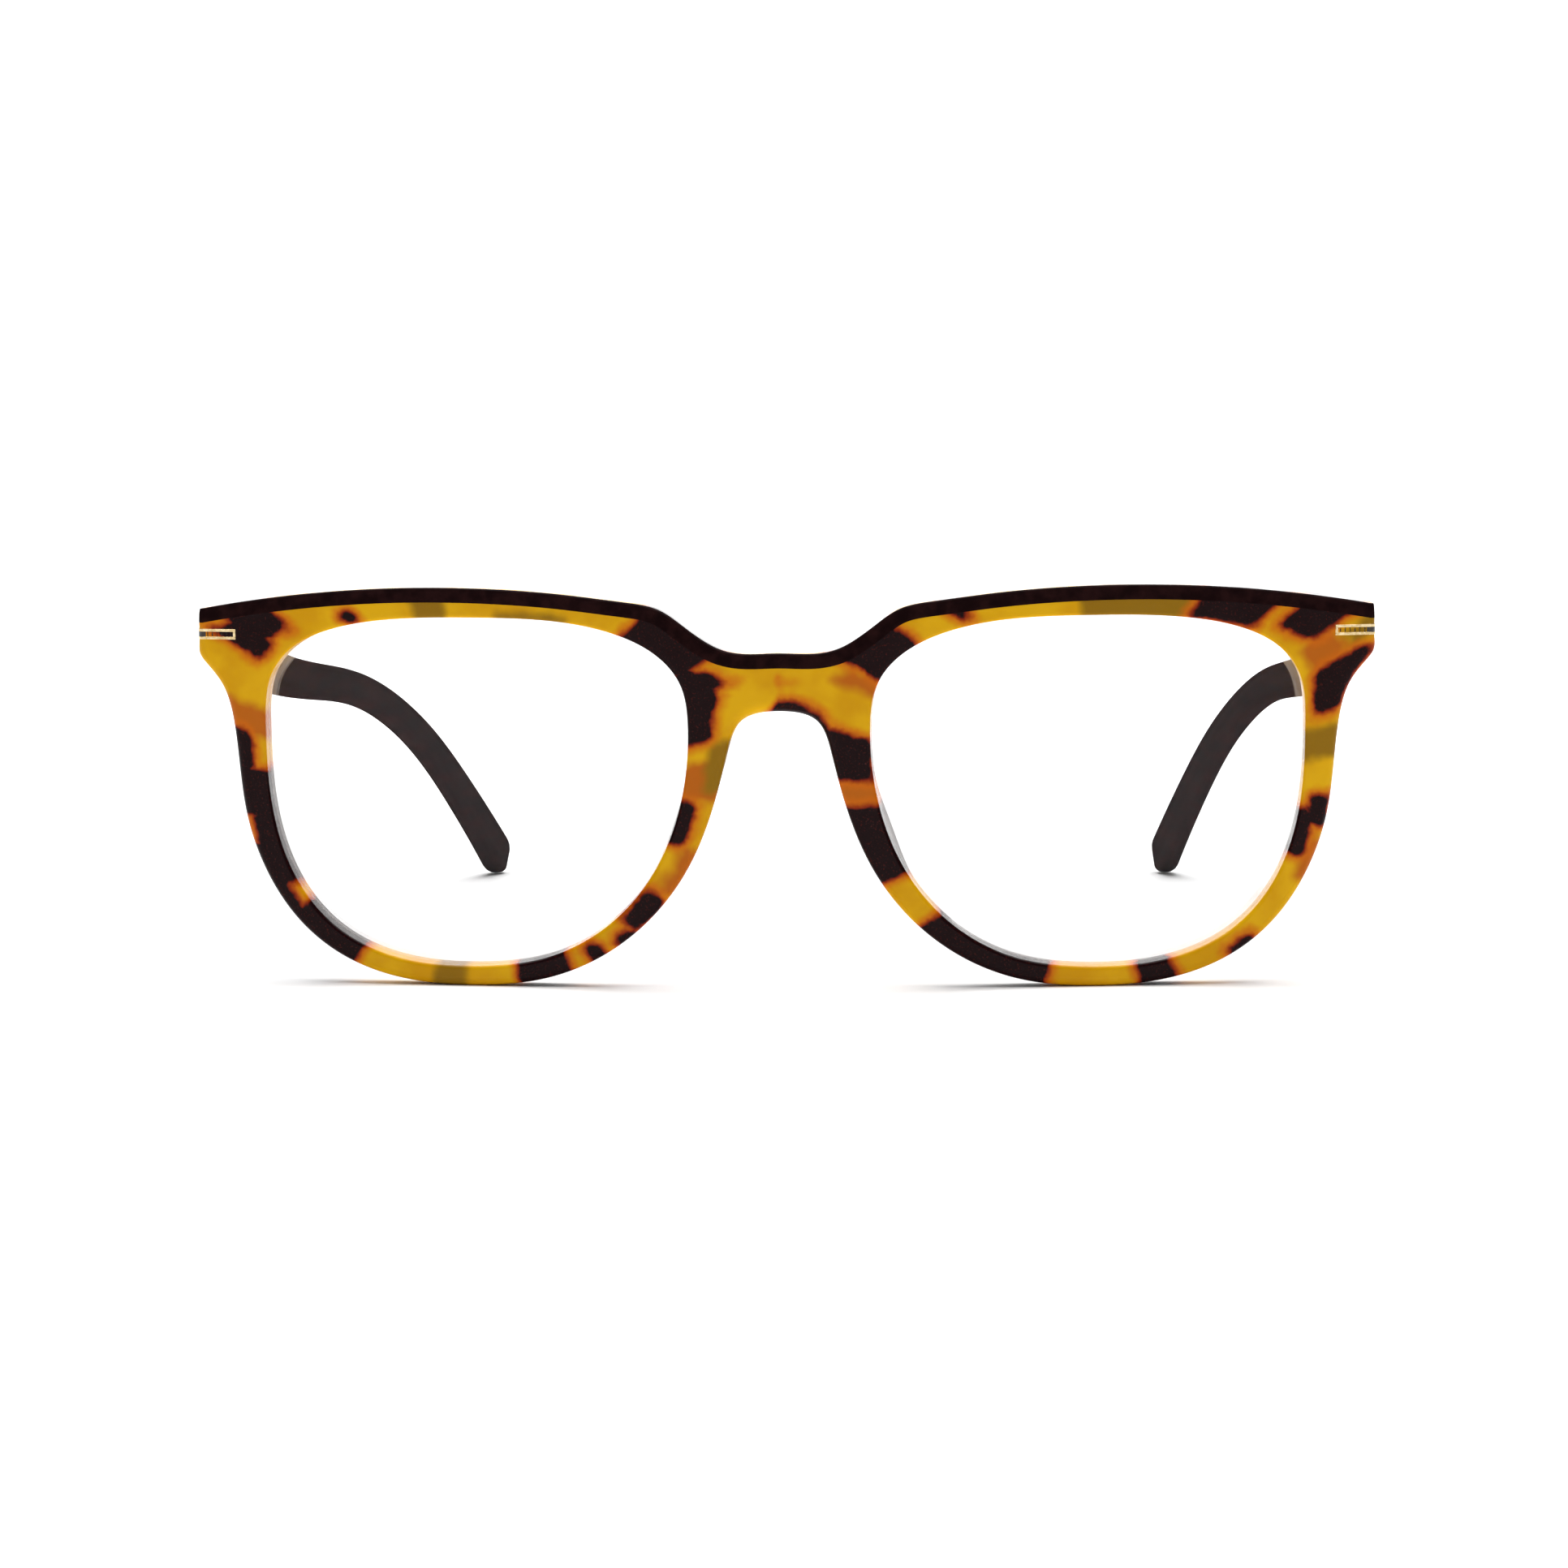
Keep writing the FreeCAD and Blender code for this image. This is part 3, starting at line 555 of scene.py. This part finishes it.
def build_front(front):
    """The tortoise front, and the brow strip that fills the step along its top."""
    plain = front.triangles[~front.is_strip]
    strip = front.triangles[front.is_strip]
    outline = set(side_edges(front.triangles))
    plain_walls = [e for e in side_edges(plain) if e in outline]
    strip_walls = [e for e in side_edges(strip) if e in outline]
    step = [e for e in side_edges(plain) if e not in outline]
    hold = 0.06
    floor = np.full(len(front.points), STRIP_DEPTH)
    depths = [front.face, front.face + hold, floor, front.back - hold, front.back]
    levels = [fit(lift(front.points, depth)) for depth in depths]
    sheets = [(0, plain, False), (2, strip, False), (4, front.triangles, True)]
    walls = [(plain_walls, (0, 1, 3, 4)), (strip_walls, (2, 3, 4)), (step, (0, 2))]
    points, faces = layered(levels, sheets, walls)
    marks = {name: np.tile(values, len(levels)) for name, values in front.marks.items()}
    body = make_object("front_body", points, faces, [tortoise_material()], marks=marks)

    depths = [front.face - STRIP_PROUD, front.face + hold, floor - 0.02]
    levels = [fit(lift(front.points, depth)) for depth in depths]
    sheets = [(0, strip, False), (2, strip, True)]
    points, faces = layered(levels, sheets, [(side_edges(strip), (0, 1, 2))])
    brow = make_object("brow_band", points, faces, [dark_material("brow_dark")], sharp=24.0)
    for piece, node, slot in ((body, "front_frame", "tortoise"),
                              (brow, "brow_strip", "dark_plastic")):
        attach(piece, "front")
        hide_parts(node)


# ---- lenses ----------------------------------------------------------------------------
def lens_depth(x, u, behind):
    """y, in the bent front before it leans, of a lens face."""
    angle = math.asin(LENS_MIDDLE / WRAP_R)
    away = (WRAP_R - LENS_SET) - LENS_R
    centre_x = math.sin(angle) * away
    centre_y = WRAP_R - math.cos(angle) * away
    radius = LENS_R - behind
    flat = (np.abs(x) - centre_x) ** 2 + (u - LENS_LEVEL) ** 2
    return centre_y - np.sqrt(radius ** 2 - flat)


def build_lens(name, sign):
    """A clear lens with a frosted, bevelled ring round its edge."""
    loop = loop_offset(LENS_LOOP, -0.03)
    edge = Edge(loop, closed=True)
    points = [Vector(p) for p in loop]
    chains = [(i, (i + 1) % len(loop)) for i in range(len(loop))]
    for gap in (0.12, 0.35, LENS_BEVEL_WIDTH, LENS_RING, LENS_RING + 0.4):
        points += [Vector(p) for p in loop_offset(loop, -gap)]
    x, u = np.meshgrid(np.arange(9, 64, 1.6), np.arange(1, 46, 1.4))
    x[1::2] += 0.8
    grid = np.stack([x.ravel(), u.ravel()], -1)
    grid = grid[inside(grid, loop)]
    points += [Vector(p) for p in grid[edge.distance(grid) > LENS_RING + 1.0]]
    result = delaunay_2d_cdt(points, chains, [], 0, 1e-4, False)
    corners = np.array([tuple(p) for p in result[0]])
    triangles = np.array(result[2])
    triangles = triangles[inside(corners[triangles].mean(1), loop)]
    gap = edge.distance(corners)
    x, u = corners[:, 0], corners[:, 1]
    bevelled = LENS_BEVEL * np.clip(1 - gap / LENS_BEVEL_WIDTH, 0, 1)
    cosine, sine = math.cos(FRONT_TILT), math.sin(FRONT_TILT)
    levels = []
    for behind, drop in ((0.0, bevelled), (LENS_THICK, -bevelled)):
        y = lens_depth(x, u, behind) + drop
        levels.append(fit(np.stack([sign * x, y * cosine - u * sine, y * sine + u * cosine], -1)))
    points, faces = layered(levels, [(0, triangles, False), (1, triangles, True)],
                            [(side_edges(triangles), (0, 1))])
    middle_gap = gap[triangles].mean(1)
    ring = (middle_gap < LENS_RING).astype(int)
    slots = list(ring) + list(ring) + [1] * (len(faces) - 2 * len(ring))
    piece = make_object(name + "_clear_lens", points, faces,
                        [lens_material(), ring_material()], slots)
    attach(piece, "front")
    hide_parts(name + "_lens")


# ---- gold corner trims -----------------------------------------------------------------
def trim_path():
    """Along the face and round the corner of an end piece: x, depth and outward direction."""
    path = [(x, 0.0, 0.0, -1.0) for x in np.linspace(TRIM_INNER_X, HALF_WIDTH - FACE_ROUND, 8)]
    for angle in np.radians(np.arange(15, 91, 15)):
        path.append((HALF_WIDTH - FACE_ROUND * (1 - math.sin(angle)),
                     FACE_ROUND * (1 - math.cos(angle)), math.sin(angle), -math.cos(angle)))
    back = TRIM_BACK_Y - (WRAP_R - math.sqrt(WRAP_R ** 2 - HALF_WIDTH ** 2)) + 0.9
    path += [(HALF_WIDTH, n, 1.0, 0.0) for n in np.linspace(FACE_ROUND + 0.4, back, 5)]
    return np.array(path)


def ribbon(path, low, high, proud, sunk, sign):
    """A thin bar that follows the path, between two heights of the front."""
    points, faces = [], []
    for u, level in ((low, proud), (high, proud), (high, -sunk), (low, -sunk)):
        x = path[:, 0] + level * path[:, 2]
        n = path[:, 1] + level * path[:, 3]
        points.append(bend(sign * x, np.full(len(path), u), n))
    count = len(path)
    for side in range(4):
        other = (side + 1) % 4
        for i in range(count - 1):
            faces.append((side * count + i, side * count + i + 1,
                          other * count + i + 1, other * count + i))
    faces.append(tuple(side * count for side in range(4)))
    faces.append(tuple(side * count + count - 1 for side in range(4)))
    return fit(np.vstack(points)), faces


def build_trim(name, sign):
    path = trim_path()
    inner_end = np.array([path[0], path[0] + [TRIM_LINE, 0, 0, 0]])
    outer_end = np.array([path[-1] - [0, TRIM_LINE, 0, 0], path[-1]])
    bars = [ribbon(path, TRIM_LOW, TRIM_LOW + TRIM_LINE, TRIM_PROUD, TRIM_SUNK, sign),
            ribbon(path, TRIM_HIGH - TRIM_LINE, TRIM_HIGH, TRIM_PROUD, TRIM_SUNK, sign),
            ribbon(inner_end, TRIM_LOW + 0.1, TRIM_HIGH - 0.1, TRIM_PROUD, TRIM_SUNK, sign),
            ribbon(outer_end, TRIM_LOW + 0.1, TRIM_HIGH - 0.1, TRIM_PROUD, TRIM_SUNK, sign)]
    points, faces = [], []
    for bar_points, bar_faces in bars:
        start = sum(len(p) for p in points)
        points.append(bar_points)
        faces += [tuple(start + i for i in face) for face in bar_faces]
    gold = make_object(name + "_gold_trim", np.vstack(points), faces, [gold_material()])
    inlay_points, inlay_faces = ribbon(path, TRIM_LOW + 0.2, TRIM_HIGH - 0.2, 0.0, 0.2, sign)
    inlay = make_object(name + "_enamel_inlay", inlay_points, inlay_faces, [enamel_material()])
    for piece, node, slot in ((gold, "corner_trim", "gold"), (inlay, "trim_inlay", "enamel")):
        soften(piece, 0.04 * MM)
        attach(piece, "front")
        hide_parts(name + "_" + node)


def soften(piece, width):
    """Rounds the sharp edges of a small piece."""
    modifier = piece.modifiers.new("soften", "BEVEL")
    modifier.width = width
    modifier.segments = 2
    modifier.limit_method = "ANGLE"
    modifier.angle_limit = math.radians(40)
    apply_modifiers(piece)


def apply_modifiers(piece):
    bpy.context.view_layer.update()
    ready = piece.evaluated_get(bpy.context.evaluated_depsgraph_get())
    mesh = bpy.data.meshes.new_from_object(ready)
    piece.modifiers.clear()
    piece.data = mesh


# ---- temples ---------------------------------------------------------------------------
def section(height, thick):
    """A rounded rectangle as offsets sideways and upwards, for every sample of the path."""
    radius = 0.40 * thick
    offsets = []
    for a, b, start in ((1, 1, 0), (-1, 1, 90), (-1, -1, 180), (1, -1, 270)):
        for angle in np.radians(np.linspace(start, start + 90, 9)):
            offsets.append((a * (0.5 * thick - radius) + radius * math.cos(angle),
                            b * (0.5 * height - radius) + radius * math.sin(angle)))
    return np.array(offsets)


def bent(y, bend_range):
    """How far past a bend y lies: nothing before it, and growing smoothly within it."""
    start, end = bend_range
    within = min(max(y - start, 0.0), end - start)
    return within ** 2 / (2 * (end - start)) + max(y - end, 0.0)


def temple_station(y):
    """y, x and height of the temple's middle, then its height and thickness there."""
    run = y - TEMPLE_AT[0]
    x = TEMPLE_START_X - TOE * run - TOE_EAR * bent(y, TOE_BEND)
    z = TEMPLE_START_Z - (FALL + FALL_SHOULDER) * run
    z += FALL_SHOULDER * bent(y, SHOULDER_BEND) - FALL_EAR * bent(y, EAR_BEND)
    end, part = (TEMPLE_AT[0], 0) if y < WAIST_Y else (TEMPLE_AT[-1], 1)
    share = ((y - WAIST_Y) / (end - WAIST_Y)) ** 2
    return y, x, z, WAIST_HEIGHT + HEIGHT_GAIN[part] * share, WAIST_THICK + THICK_GAIN[part] * share


def build_temple(name, sign):
    rows = spline([temple_station(y) for y in TEMPLE_AT], step=1.0)
    middle = rows[:, [1, 0, 2]]
    along = np.gradient(middle, axis=0)
    along /= np.linalg.norm(along, axis=1)[:, None]
    along[0] = (0, 1, 0)
    rings = [(middle[0], along[0], rows[0, 3] - 0.5, rows[0, 4] - 0.5),
             (middle[0] + along[0] * 0.08, along[0], rows[0, 3] - 0.18, rows[0, 4] - 0.18),
             (middle[0] + along[0] * 0.3, along[0], rows[0, 3], rows[0, 4])]
    rings += [(middle[i], along[i], rows[i, 3], rows[i, 4]) for i in range(1, len(rows))]
    for angle in np.radians((15, 30, 45, 58, 70, 80)):
        size = math.cos(angle)
        rings.append((middle[-1] + along[-1] * TIP_LENGTH * math.sin(angle), along[-1],
                      rows[-1, 3] * size, rows[-1, 4] * size))
    points, faces = [], []
    for place, direction, height, thick in rings:
        side = np.cross(direction, (0, 0, 1))
        side /= np.linalg.norm(side)
        up = np.cross(side, direction)
        shape = section(height, thick)
        ring = place + shape[:, :1] * side + shape[:, 1:] * up
        points.append(ring * np.array([sign, 1, 1]))
    count = len(points[0])
    for i in range(len(points) - 1):
        for j in range(count):
            k = (j + 1) % count
            faces.append((i * count + j, i * count + k, (i + 1) * count + k, (i + 1) * count + j))
    faces.append(tuple(range(count)))
    faces.append(tuple((len(points) - 1) * count + j for j in range(count)))
    piece = make_object(name + "_arm", fit(np.vstack(points)), faces,
                        [dark_material("temple_dark")])
    cut_hinge_room(piece, sign)
    clean(piece.data, 38.0)
    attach(piece, name + "_temple")
    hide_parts(name + "_temple")


def cut_hinge_room(piece, sign):
    """Cuts the relief round the hinge's knuckles and the slot for the slider's arm."""
    relief = PIN[0] + 1.6
    cutters = [box_points((60, 10, 30), (relief, PIN[1], 50), sign),
               box_points((60, 10, 38.4), (68.0, 16.7, 40.8), sign),
               tube_points(1.6, 30, 50, sign)]
    for points, faces in cutters:
        cutter = make_object("cutter", fit(points), faces, [])
        modifier = piece.modifiers.new("cut", "BOOLEAN")
        modifier.operation = "DIFFERENCE"
        modifier.solver = "EXACT"
        modifier.object = cutter
        apply_modifiers(piece)
        bpy.data.objects.remove(cutter)


def box_points(low, high, sign):
    corners = [(x, y, z) for x in (low[0], high[0]) for y in (low[1], high[1])
               for z in (low[2], high[2])]
    faces = [(0, 1, 3, 2), (4, 6, 7, 5), (0, 4, 5, 1), (2, 3, 7, 6), (0, 2, 6, 4), (1, 5, 7, 3)]
    return np.array(corners) * np.array([sign, 1, 1]), faces


def tube_points(radius, low, high, sign):
    count = 48
    angles = np.linspace(0, 2 * math.pi, count, endpoint=False)
    ring = np.stack([PIN[0] + radius * np.cos(angles), PIN[1] + radius * np.sin(angles)], -1)
    points = [np.column_stack([ring, np.full(count, z)]) for z in (low, high)]
    faces = [(i, (i + 1) % count, count + (i + 1) % count, count + i) for i in range(count)]
    faces += [tuple(range(count)), tuple(range(count, 2 * count))]
    return np.vstack(points) * np.array([sign, 1, 1]), faces


# ---- materials -------------------------------------------------------------------------
DARK_GLOSS = 0.005       # share of dark plastic that mirrors its surroundings
DARK_GLOSS_ROUGH = 0.22
LENS_SHOWS = 0.012       # shares of the lens and of its ring that don't let light through
RING_SHOWS = 0.2


def new_material(name):
    material = bpy.data.materials.new(name)
    material.use_nodes = True
    nodes, links = material.node_tree.nodes, material.node_tree.links
    nodes.clear()
    output = nodes.new("ShaderNodeOutputMaterial")
    shader = nodes.new("ShaderNodeBsdfPrincipled")
    links.new(shader.outputs[0], output.inputs[0])
    return material, nodes, links, shader


def srgb(red, green, blue):
    """A colour given as it looks on a screen, 0 to 255, as the shader wants it."""
    values = [c / 255 for c in (red, green, blue)]
    return [c / 12.92 if c < 0.04 else ((c + 0.055) / 1.055) ** 2.4 for c in values] + [1.0]


class Shading:
    """Short names for the few shader nodes that the materials are made of."""

    def __init__(self, name):
        self.material, self.nodes, self.links, self.shader = new_material(name)
        self.place = self.nodes.new("ShaderNodeTexCoord").outputs["Object"]

    def noise(self, size, detail=3.0, stretch=(1, 1, 1)):
        """Noise whose features are about this many millimetres across."""
        mapping = self.nodes.new("ShaderNodeMapping")
        mapping.inputs["Scale"].default_value = stretch
        self.links.new(self.place, mapping.inputs["Vector"])
        node = self.nodes.new("ShaderNodeTexNoise")
        node.inputs["Scale"].default_value = 1.0 / (size * MM)
        node.inputs["Detail"].default_value = detail
        self.links.new(mapping.outputs[0], node.inputs["Vector"])
        return node.outputs["Fac"]

    def mark(self, name):
        node = self.nodes.new("ShaderNodeAttribute")
        node.attribute_name = name
        return node.outputs["Fac"]

    def sum(self, first, second, factor):
        """first + second * factor."""
        node = self.nodes.new("ShaderNodeMath")
        node.operation = "MULTIPLY_ADD"
        node.inputs[1].default_value = factor
        self.links.new(second, node.inputs[0])
        self.links.new(first, node.inputs[2])
        return node.outputs[0]

    def span(self, value, low, high, start=0.0, stop=1.0):
        """value, which runs from low to high, smoothly turned into start to stop."""
        node = self.nodes.new("ShaderNodeMapRange")
        node.interpolation_type = "SMOOTHSTEP"
        for key, number in (("From Min", low), ("From Max", high), ("To Min", start), ("To Max", stop)):
            node.inputs[key].default_value = number
        self.links.new(value, node.inputs["Value"])
        return node.outputs[0]

    def mix(self, factor, first, second):
        """Colours, each a socket or a plain value, mixed by a socket."""
        node = self.nodes.new("ShaderNodeMix")
        node.data_type = "RGBA"
        self.links.new(factor, node.inputs["Factor"])
        for socket, colour in ((node.inputs[6], first), (node.inputs[7], second)):
            if isinstance(colour, list):
                socket.default_value = colour
            else:
                self.links.new(colour, socket)
        return node.outputs[2]

    def finish(self, colour, rough, bump_height, bump_depth):
        """Colour, roughness between two values and a bump this many millimetres deep."""
        self.links.new(colour, self.shader.inputs["Base Color"])
        wear = self.span(self.noise(6.0, 5.0), 0.3, 0.7, *rough)
        self.links.new(wear, self.shader.inputs["Roughness"])
        bump = self.nodes.new("ShaderNodeBump")
        bump.inputs["Distance"].default_value = bump_depth * MM
        self.links.new(bump_height, bump.inputs["Height"])
        self.links.new(bump.outputs[0], self.shader.inputs["Normal"])

    def polish(self, ior, coat):
        """How strongly the plastic mirrors its surroundings, and its coat of polish."""
        self.shader.inputs["IOR"].default_value = ior
        self.shader.inputs["Coat Weight"].default_value = coat
        self.shader.inputs["Coat Roughness"].default_value = 0.05


def tortoise_material():
    """Amber acetate: dark patches with orange-red halos, olive and orange clouds."""
    look = Shading("tortoise")
    wander = look.noise(2.8, 2.0)
    fray = look.noise(0.6, 2.0)
    cloud = look.noise(7.0, 3.0)
    amber = look.mix(look.span(cloud, 0.35, 0.65), srgb(214, 154, 4), srgb(228, 174, 12))
    warm = look.sum(look.sum(look.mark("warm"), wander, 2.0), cloud, 1.0)
    amber = look.mix(look.span(warm, 0.6, 2.4), amber, srgb(190, 100, 16))
    olive = look.sum(look.mark("olive"), wander, 1.6)
    amber = look.mix(look.span(olive, 0.2, 1.7), amber, srgb(148, 108, 14))
    depth = look.sum(look.sum(look.mark("dark"), wander, 1.5), fray, 0.35)
    glow = look.mix(look.span(depth, 0.2, 0.95), srgb(208, 104, 10), srgb(138, 36, 8))
    body = look.mix(look.span(depth, -0.75, 0.7), amber, glow)
    speckle = look.span(look.noise(0.25, 2.0), 0.55, 0.75)
    dark = look.mix(speckle, srgb(24, 4, 6), srgb(60, 14, 9))
    colour = look.mix(look.span(depth, 0.75, 1.1), body, dark)
    look.finish(colour, (0.10, 0.22), look.noise(3.0, 2.0), 0.03)
    look.polish(1.16, 0.02)
    return look.material


def dark_material(name):
    """Polished very dark brown acetate with faint lengthwise streaks."""
    look = Shading(name)
    streak = look.noise(1.6, 4.0, stretch=(1, 0.15, 1))
    colour = look.mix(look.span(streak, 0.35, 0.7), srgb(22, 8, 9), srgb(36, 17, 17))
    look.finish(colour, (0.12, 0.26), look.noise(2.5, 3.0), 0.02)
    look.shader.inputs["Specular IOR Level"].default_value = 0.0
    gloss = look.nodes.new("ShaderNodeBsdfAnisotropic")
    gloss.inputs["Roughness"].default_value = DARK_GLOSS_ROUGH
    blend_shaders(look, look.shader, gloss, DARK_GLOSS)
    return look.material


def blend_shaders(look, first, second, share):
    """The surface as the first shader, with a share of the second."""
    both = look.nodes.new("ShaderNodeMixShader")
    both.inputs[0].default_value = share
    look.links.new(first.outputs[0], both.inputs[1])
    look.links.new(second.outputs[0], both.inputs[2])
    output = next(node for node in look.nodes if node.type == "OUTPUT_MATERIAL")
    look.links.new(both.outputs[0], output.inputs[0])


def see_through(look, share):
    """Lets light straight through, but for a share of it that meets the surface."""
    clear = look.nodes.new("ShaderNodeBsdfTransparent")
    blend_shaders(look, clear, look.shader, share)


def lens_material():
    """Clear lens: lets nearly everything through."""
    look = Shading("clear_lens")
    tint = look.mix(look.span(look.noise(20.0), 0.3, 0.7), srgb(232, 238, 240), srgb(244, 248, 250))
    look.finish(tint, (0.01, 0.04), look.noise(12.0), 0.002)
    see_through(look, LENS_SHOWS)
    return look.material


def ring_material():
    """Ground, frosted edge of a lens, which the pale surroundings show through."""
    look = Shading("lens_ring")
    grain = look.noise(0.3, 4.0)
    colour = look.mix(look.span(grain, 0.35, 0.65), srgb(220, 210, 206), srgb(254, 252, 250))
    look.finish(colour, (0.35, 0.6), grain, 0.02)
    see_through(look, RING_SHOWS)
    return look.material


def metal_material(name, first, second, rough, grain_size):
    """Metal with a fine drawn grain."""
    look = Shading(name)
    grain = look.noise(grain_size, 4.0, stretch=(1, 0.2, 1))
    colour = look.mix(look.span(grain, 0.3, 0.7), first, second)
    look.finish(colour, rough, grain, 0.004)
    look.shader.inputs["Metallic"].default_value = 1.0
    return look.material


def gold_material():
    return metal_material("gold", srgb(214, 184, 128), srgb(246, 224, 178), (0.14, 0.26), 0.5)


def enamel_material():
    """Dark fired enamel with a slight ripple."""
    look = Shading("enamel")
    cloud = look.noise(1.2, 3.0)
    colour = look.mix(look.span(cloud, 0.35, 0.65), srgb(34, 24, 18), srgb(50, 38, 26))
    look.finish(colour, (0.15, 0.3), cloud, 0.02)
    return look.material


def nylon_material():
    look = Shading("nylon")
    grain = look.noise(0.3, 3.0)
    colour = look.mix(look.span(grain, 0.3, 0.7), srgb(214, 210, 200), srgb(232, 229, 221))
    look.finish(colour, (0.4, 0.55), grain, 0.01)
    return look.material


def dress_cad_nodes():
    """Better materials for the metal and nylon pieces that CAD already shapes rightly."""
    nickel = metal_material("nickel", srgb(188, 187, 184), srgb(222, 221, 218), (0.16, 0.32), 0.4)
    steel = metal_material("spring_wire", srgb(150, 150, 153), srgb(190, 190, 194), (0.22, 0.4), 0.2)
    core = metal_material("core_wire", srgb(172, 168, 160), srgb(200, 196, 188), (0.2, 0.36), 0.3)
    by_end = {"front_hinge": nickel, "hinge_screw": nickel, "spring_slider": nickel,
              "slider_nut": nickel, "lock_ring": nickel, "spring_housing": nickel,
              "hinge_bush": nylon_material(), "hinge_spring": steel, "temple_core": core}
    for side, _ in SIDES:
        for ending, material in by_end.items():
            for slot in frame["nodes"][side + "_" + ending].material_slots:
                slot.material = material


# ---- build -----------------------------------------------------------------------------
build_front(Front())
for side_name, side_sign in SIDES:
    build_lens(side_name, side_sign)
    build_trim(side_name, side_sign)
    build_temple(side_name, side_sign)
dress_cad_nodes()


# ---- floor, light and camera -----------------------------------------------------------
STAGE_HALF = 3.0
STAGE_BACK = 1.6         # where the floor starts to curve up into the backdrop, metres
STAGE_CURVE = 0.5
STAGE_HEIGHT = 2.0
OVERHEAD_SIZE, OVERHEAD_POWER = 2.2, 62.0
BACKDROP_SIZE, BACKDROP_POWER = 1.6, 22.0
WORLD_STRENGTH = 0.25


def build_stage():
    """A pale floor that curves up into a backdrop behind, and soft light from above."""
    profile = [(-STAGE_HALF, 0.0), (STAGE_BACK, 0.0)]
    for angle in np.radians(np.arange(10, 91, 10)):
        profile.append((STAGE_BACK + STAGE_CURVE * math.sin(angle),
                        STAGE_CURVE * (1 - math.cos(angle))))
    profile.append((STAGE_BACK + STAGE_CURVE, STAGE_HEIGHT))
    points = [(side * STAGE_HALF, y, z) for y, z in profile for side in (-1, 1)]
    faces = [(2 * i, 2 * i + 1, 2 * i + 3, 2 * i + 2) for i in range(len(profile) - 1)]
    look = Shading("floor_paint")
    grain = look.noise(40.0, 3.0)
    colour = look.mix(look.span(grain, 0.3, 0.7), [0.93, 0.93, 0.93, 1], [0.95, 0.95, 0.95, 1])
    look.finish(colour, (0.85, 0.95), grain, 0.01)
    make_object("floor", points, faces, [look.material])
    add_light("overhead", (0.0, 0.5, 1.8), (0.0, 0.5, 0.0), OVERHEAD_SIZE, OVERHEAD_POWER)
    add_light("backdrop_light", (0.0, 0.6, 1.2), (0.0, STAGE_BACK + STAGE_CURVE, 0.5),
              BACKDROP_SIZE, BACKDROP_POWER)
    world = bpy.data.worlds.new("studio")
    world.use_nodes = True
    world.node_tree.nodes["Background"].inputs[0].default_value = (1, 1, 1, 1)
    world.node_tree.nodes["Background"].inputs[1].default_value = WORLD_STRENGTH
    bpy.context.scene.world = world
    bpy.context.scene.view_settings.view_transform = "Standard"


def add_light(name, place, target, size, power):
    data = bpy.data.lights.new(name, "AREA")
    data.size = size
    data.energy = power
    lamp = bpy.data.objects.new(name, data)
    lamp.location = place
    lamp.rotation_euler = (Vector(target) - Vector(place)).to_track_quat("-Z", "Y").to_euler()
    bpy.context.scene.collection.objects.link(lamp)


CAMERA_AZIMUTH = math.radians(3.1)   # towards the wearer's left
CAMERA_ROLL = math.radians(-0.34)
CAMERA_DISTANCE = 0.442
CAMERA_HEIGHT = 0.0577
CAMERA_LENS = 86.7
AIM_ASIDE = 0.0005
AIM_BACK = 0.002
AIM_UP = 0.0004


def build_camera():
    low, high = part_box("front_frame")
    target = Vector((AIM_ASIDE, low.y + AIM_BACK, 0.5 * (low.z + high.z) + AIM_UP))
    camera = bpy.data.objects.new("camera", bpy.data.cameras.new("camera"))
    camera.data.lens = CAMERA_LENS
    camera.data.sensor_width = 36
    camera.data.clip_start = 0.01
    camera.location = (target.x + CAMERA_DISTANCE * math.sin(CAMERA_AZIMUTH),
                       target.y - CAMERA_DISTANCE * math.cos(CAMERA_AZIMUTH), CAMERA_HEIGHT)
    rotation = (target - camera.location).to_track_quat("-Z", "Y").to_euler()
    rotation.rotate_axis("Z", CAMERA_ROLL)
    camera.rotation_euler = rotation
    bpy.context.scene.collection.objects.link(camera)
    bpy.context.scene.camera = camera


build_stage()
build_camera()
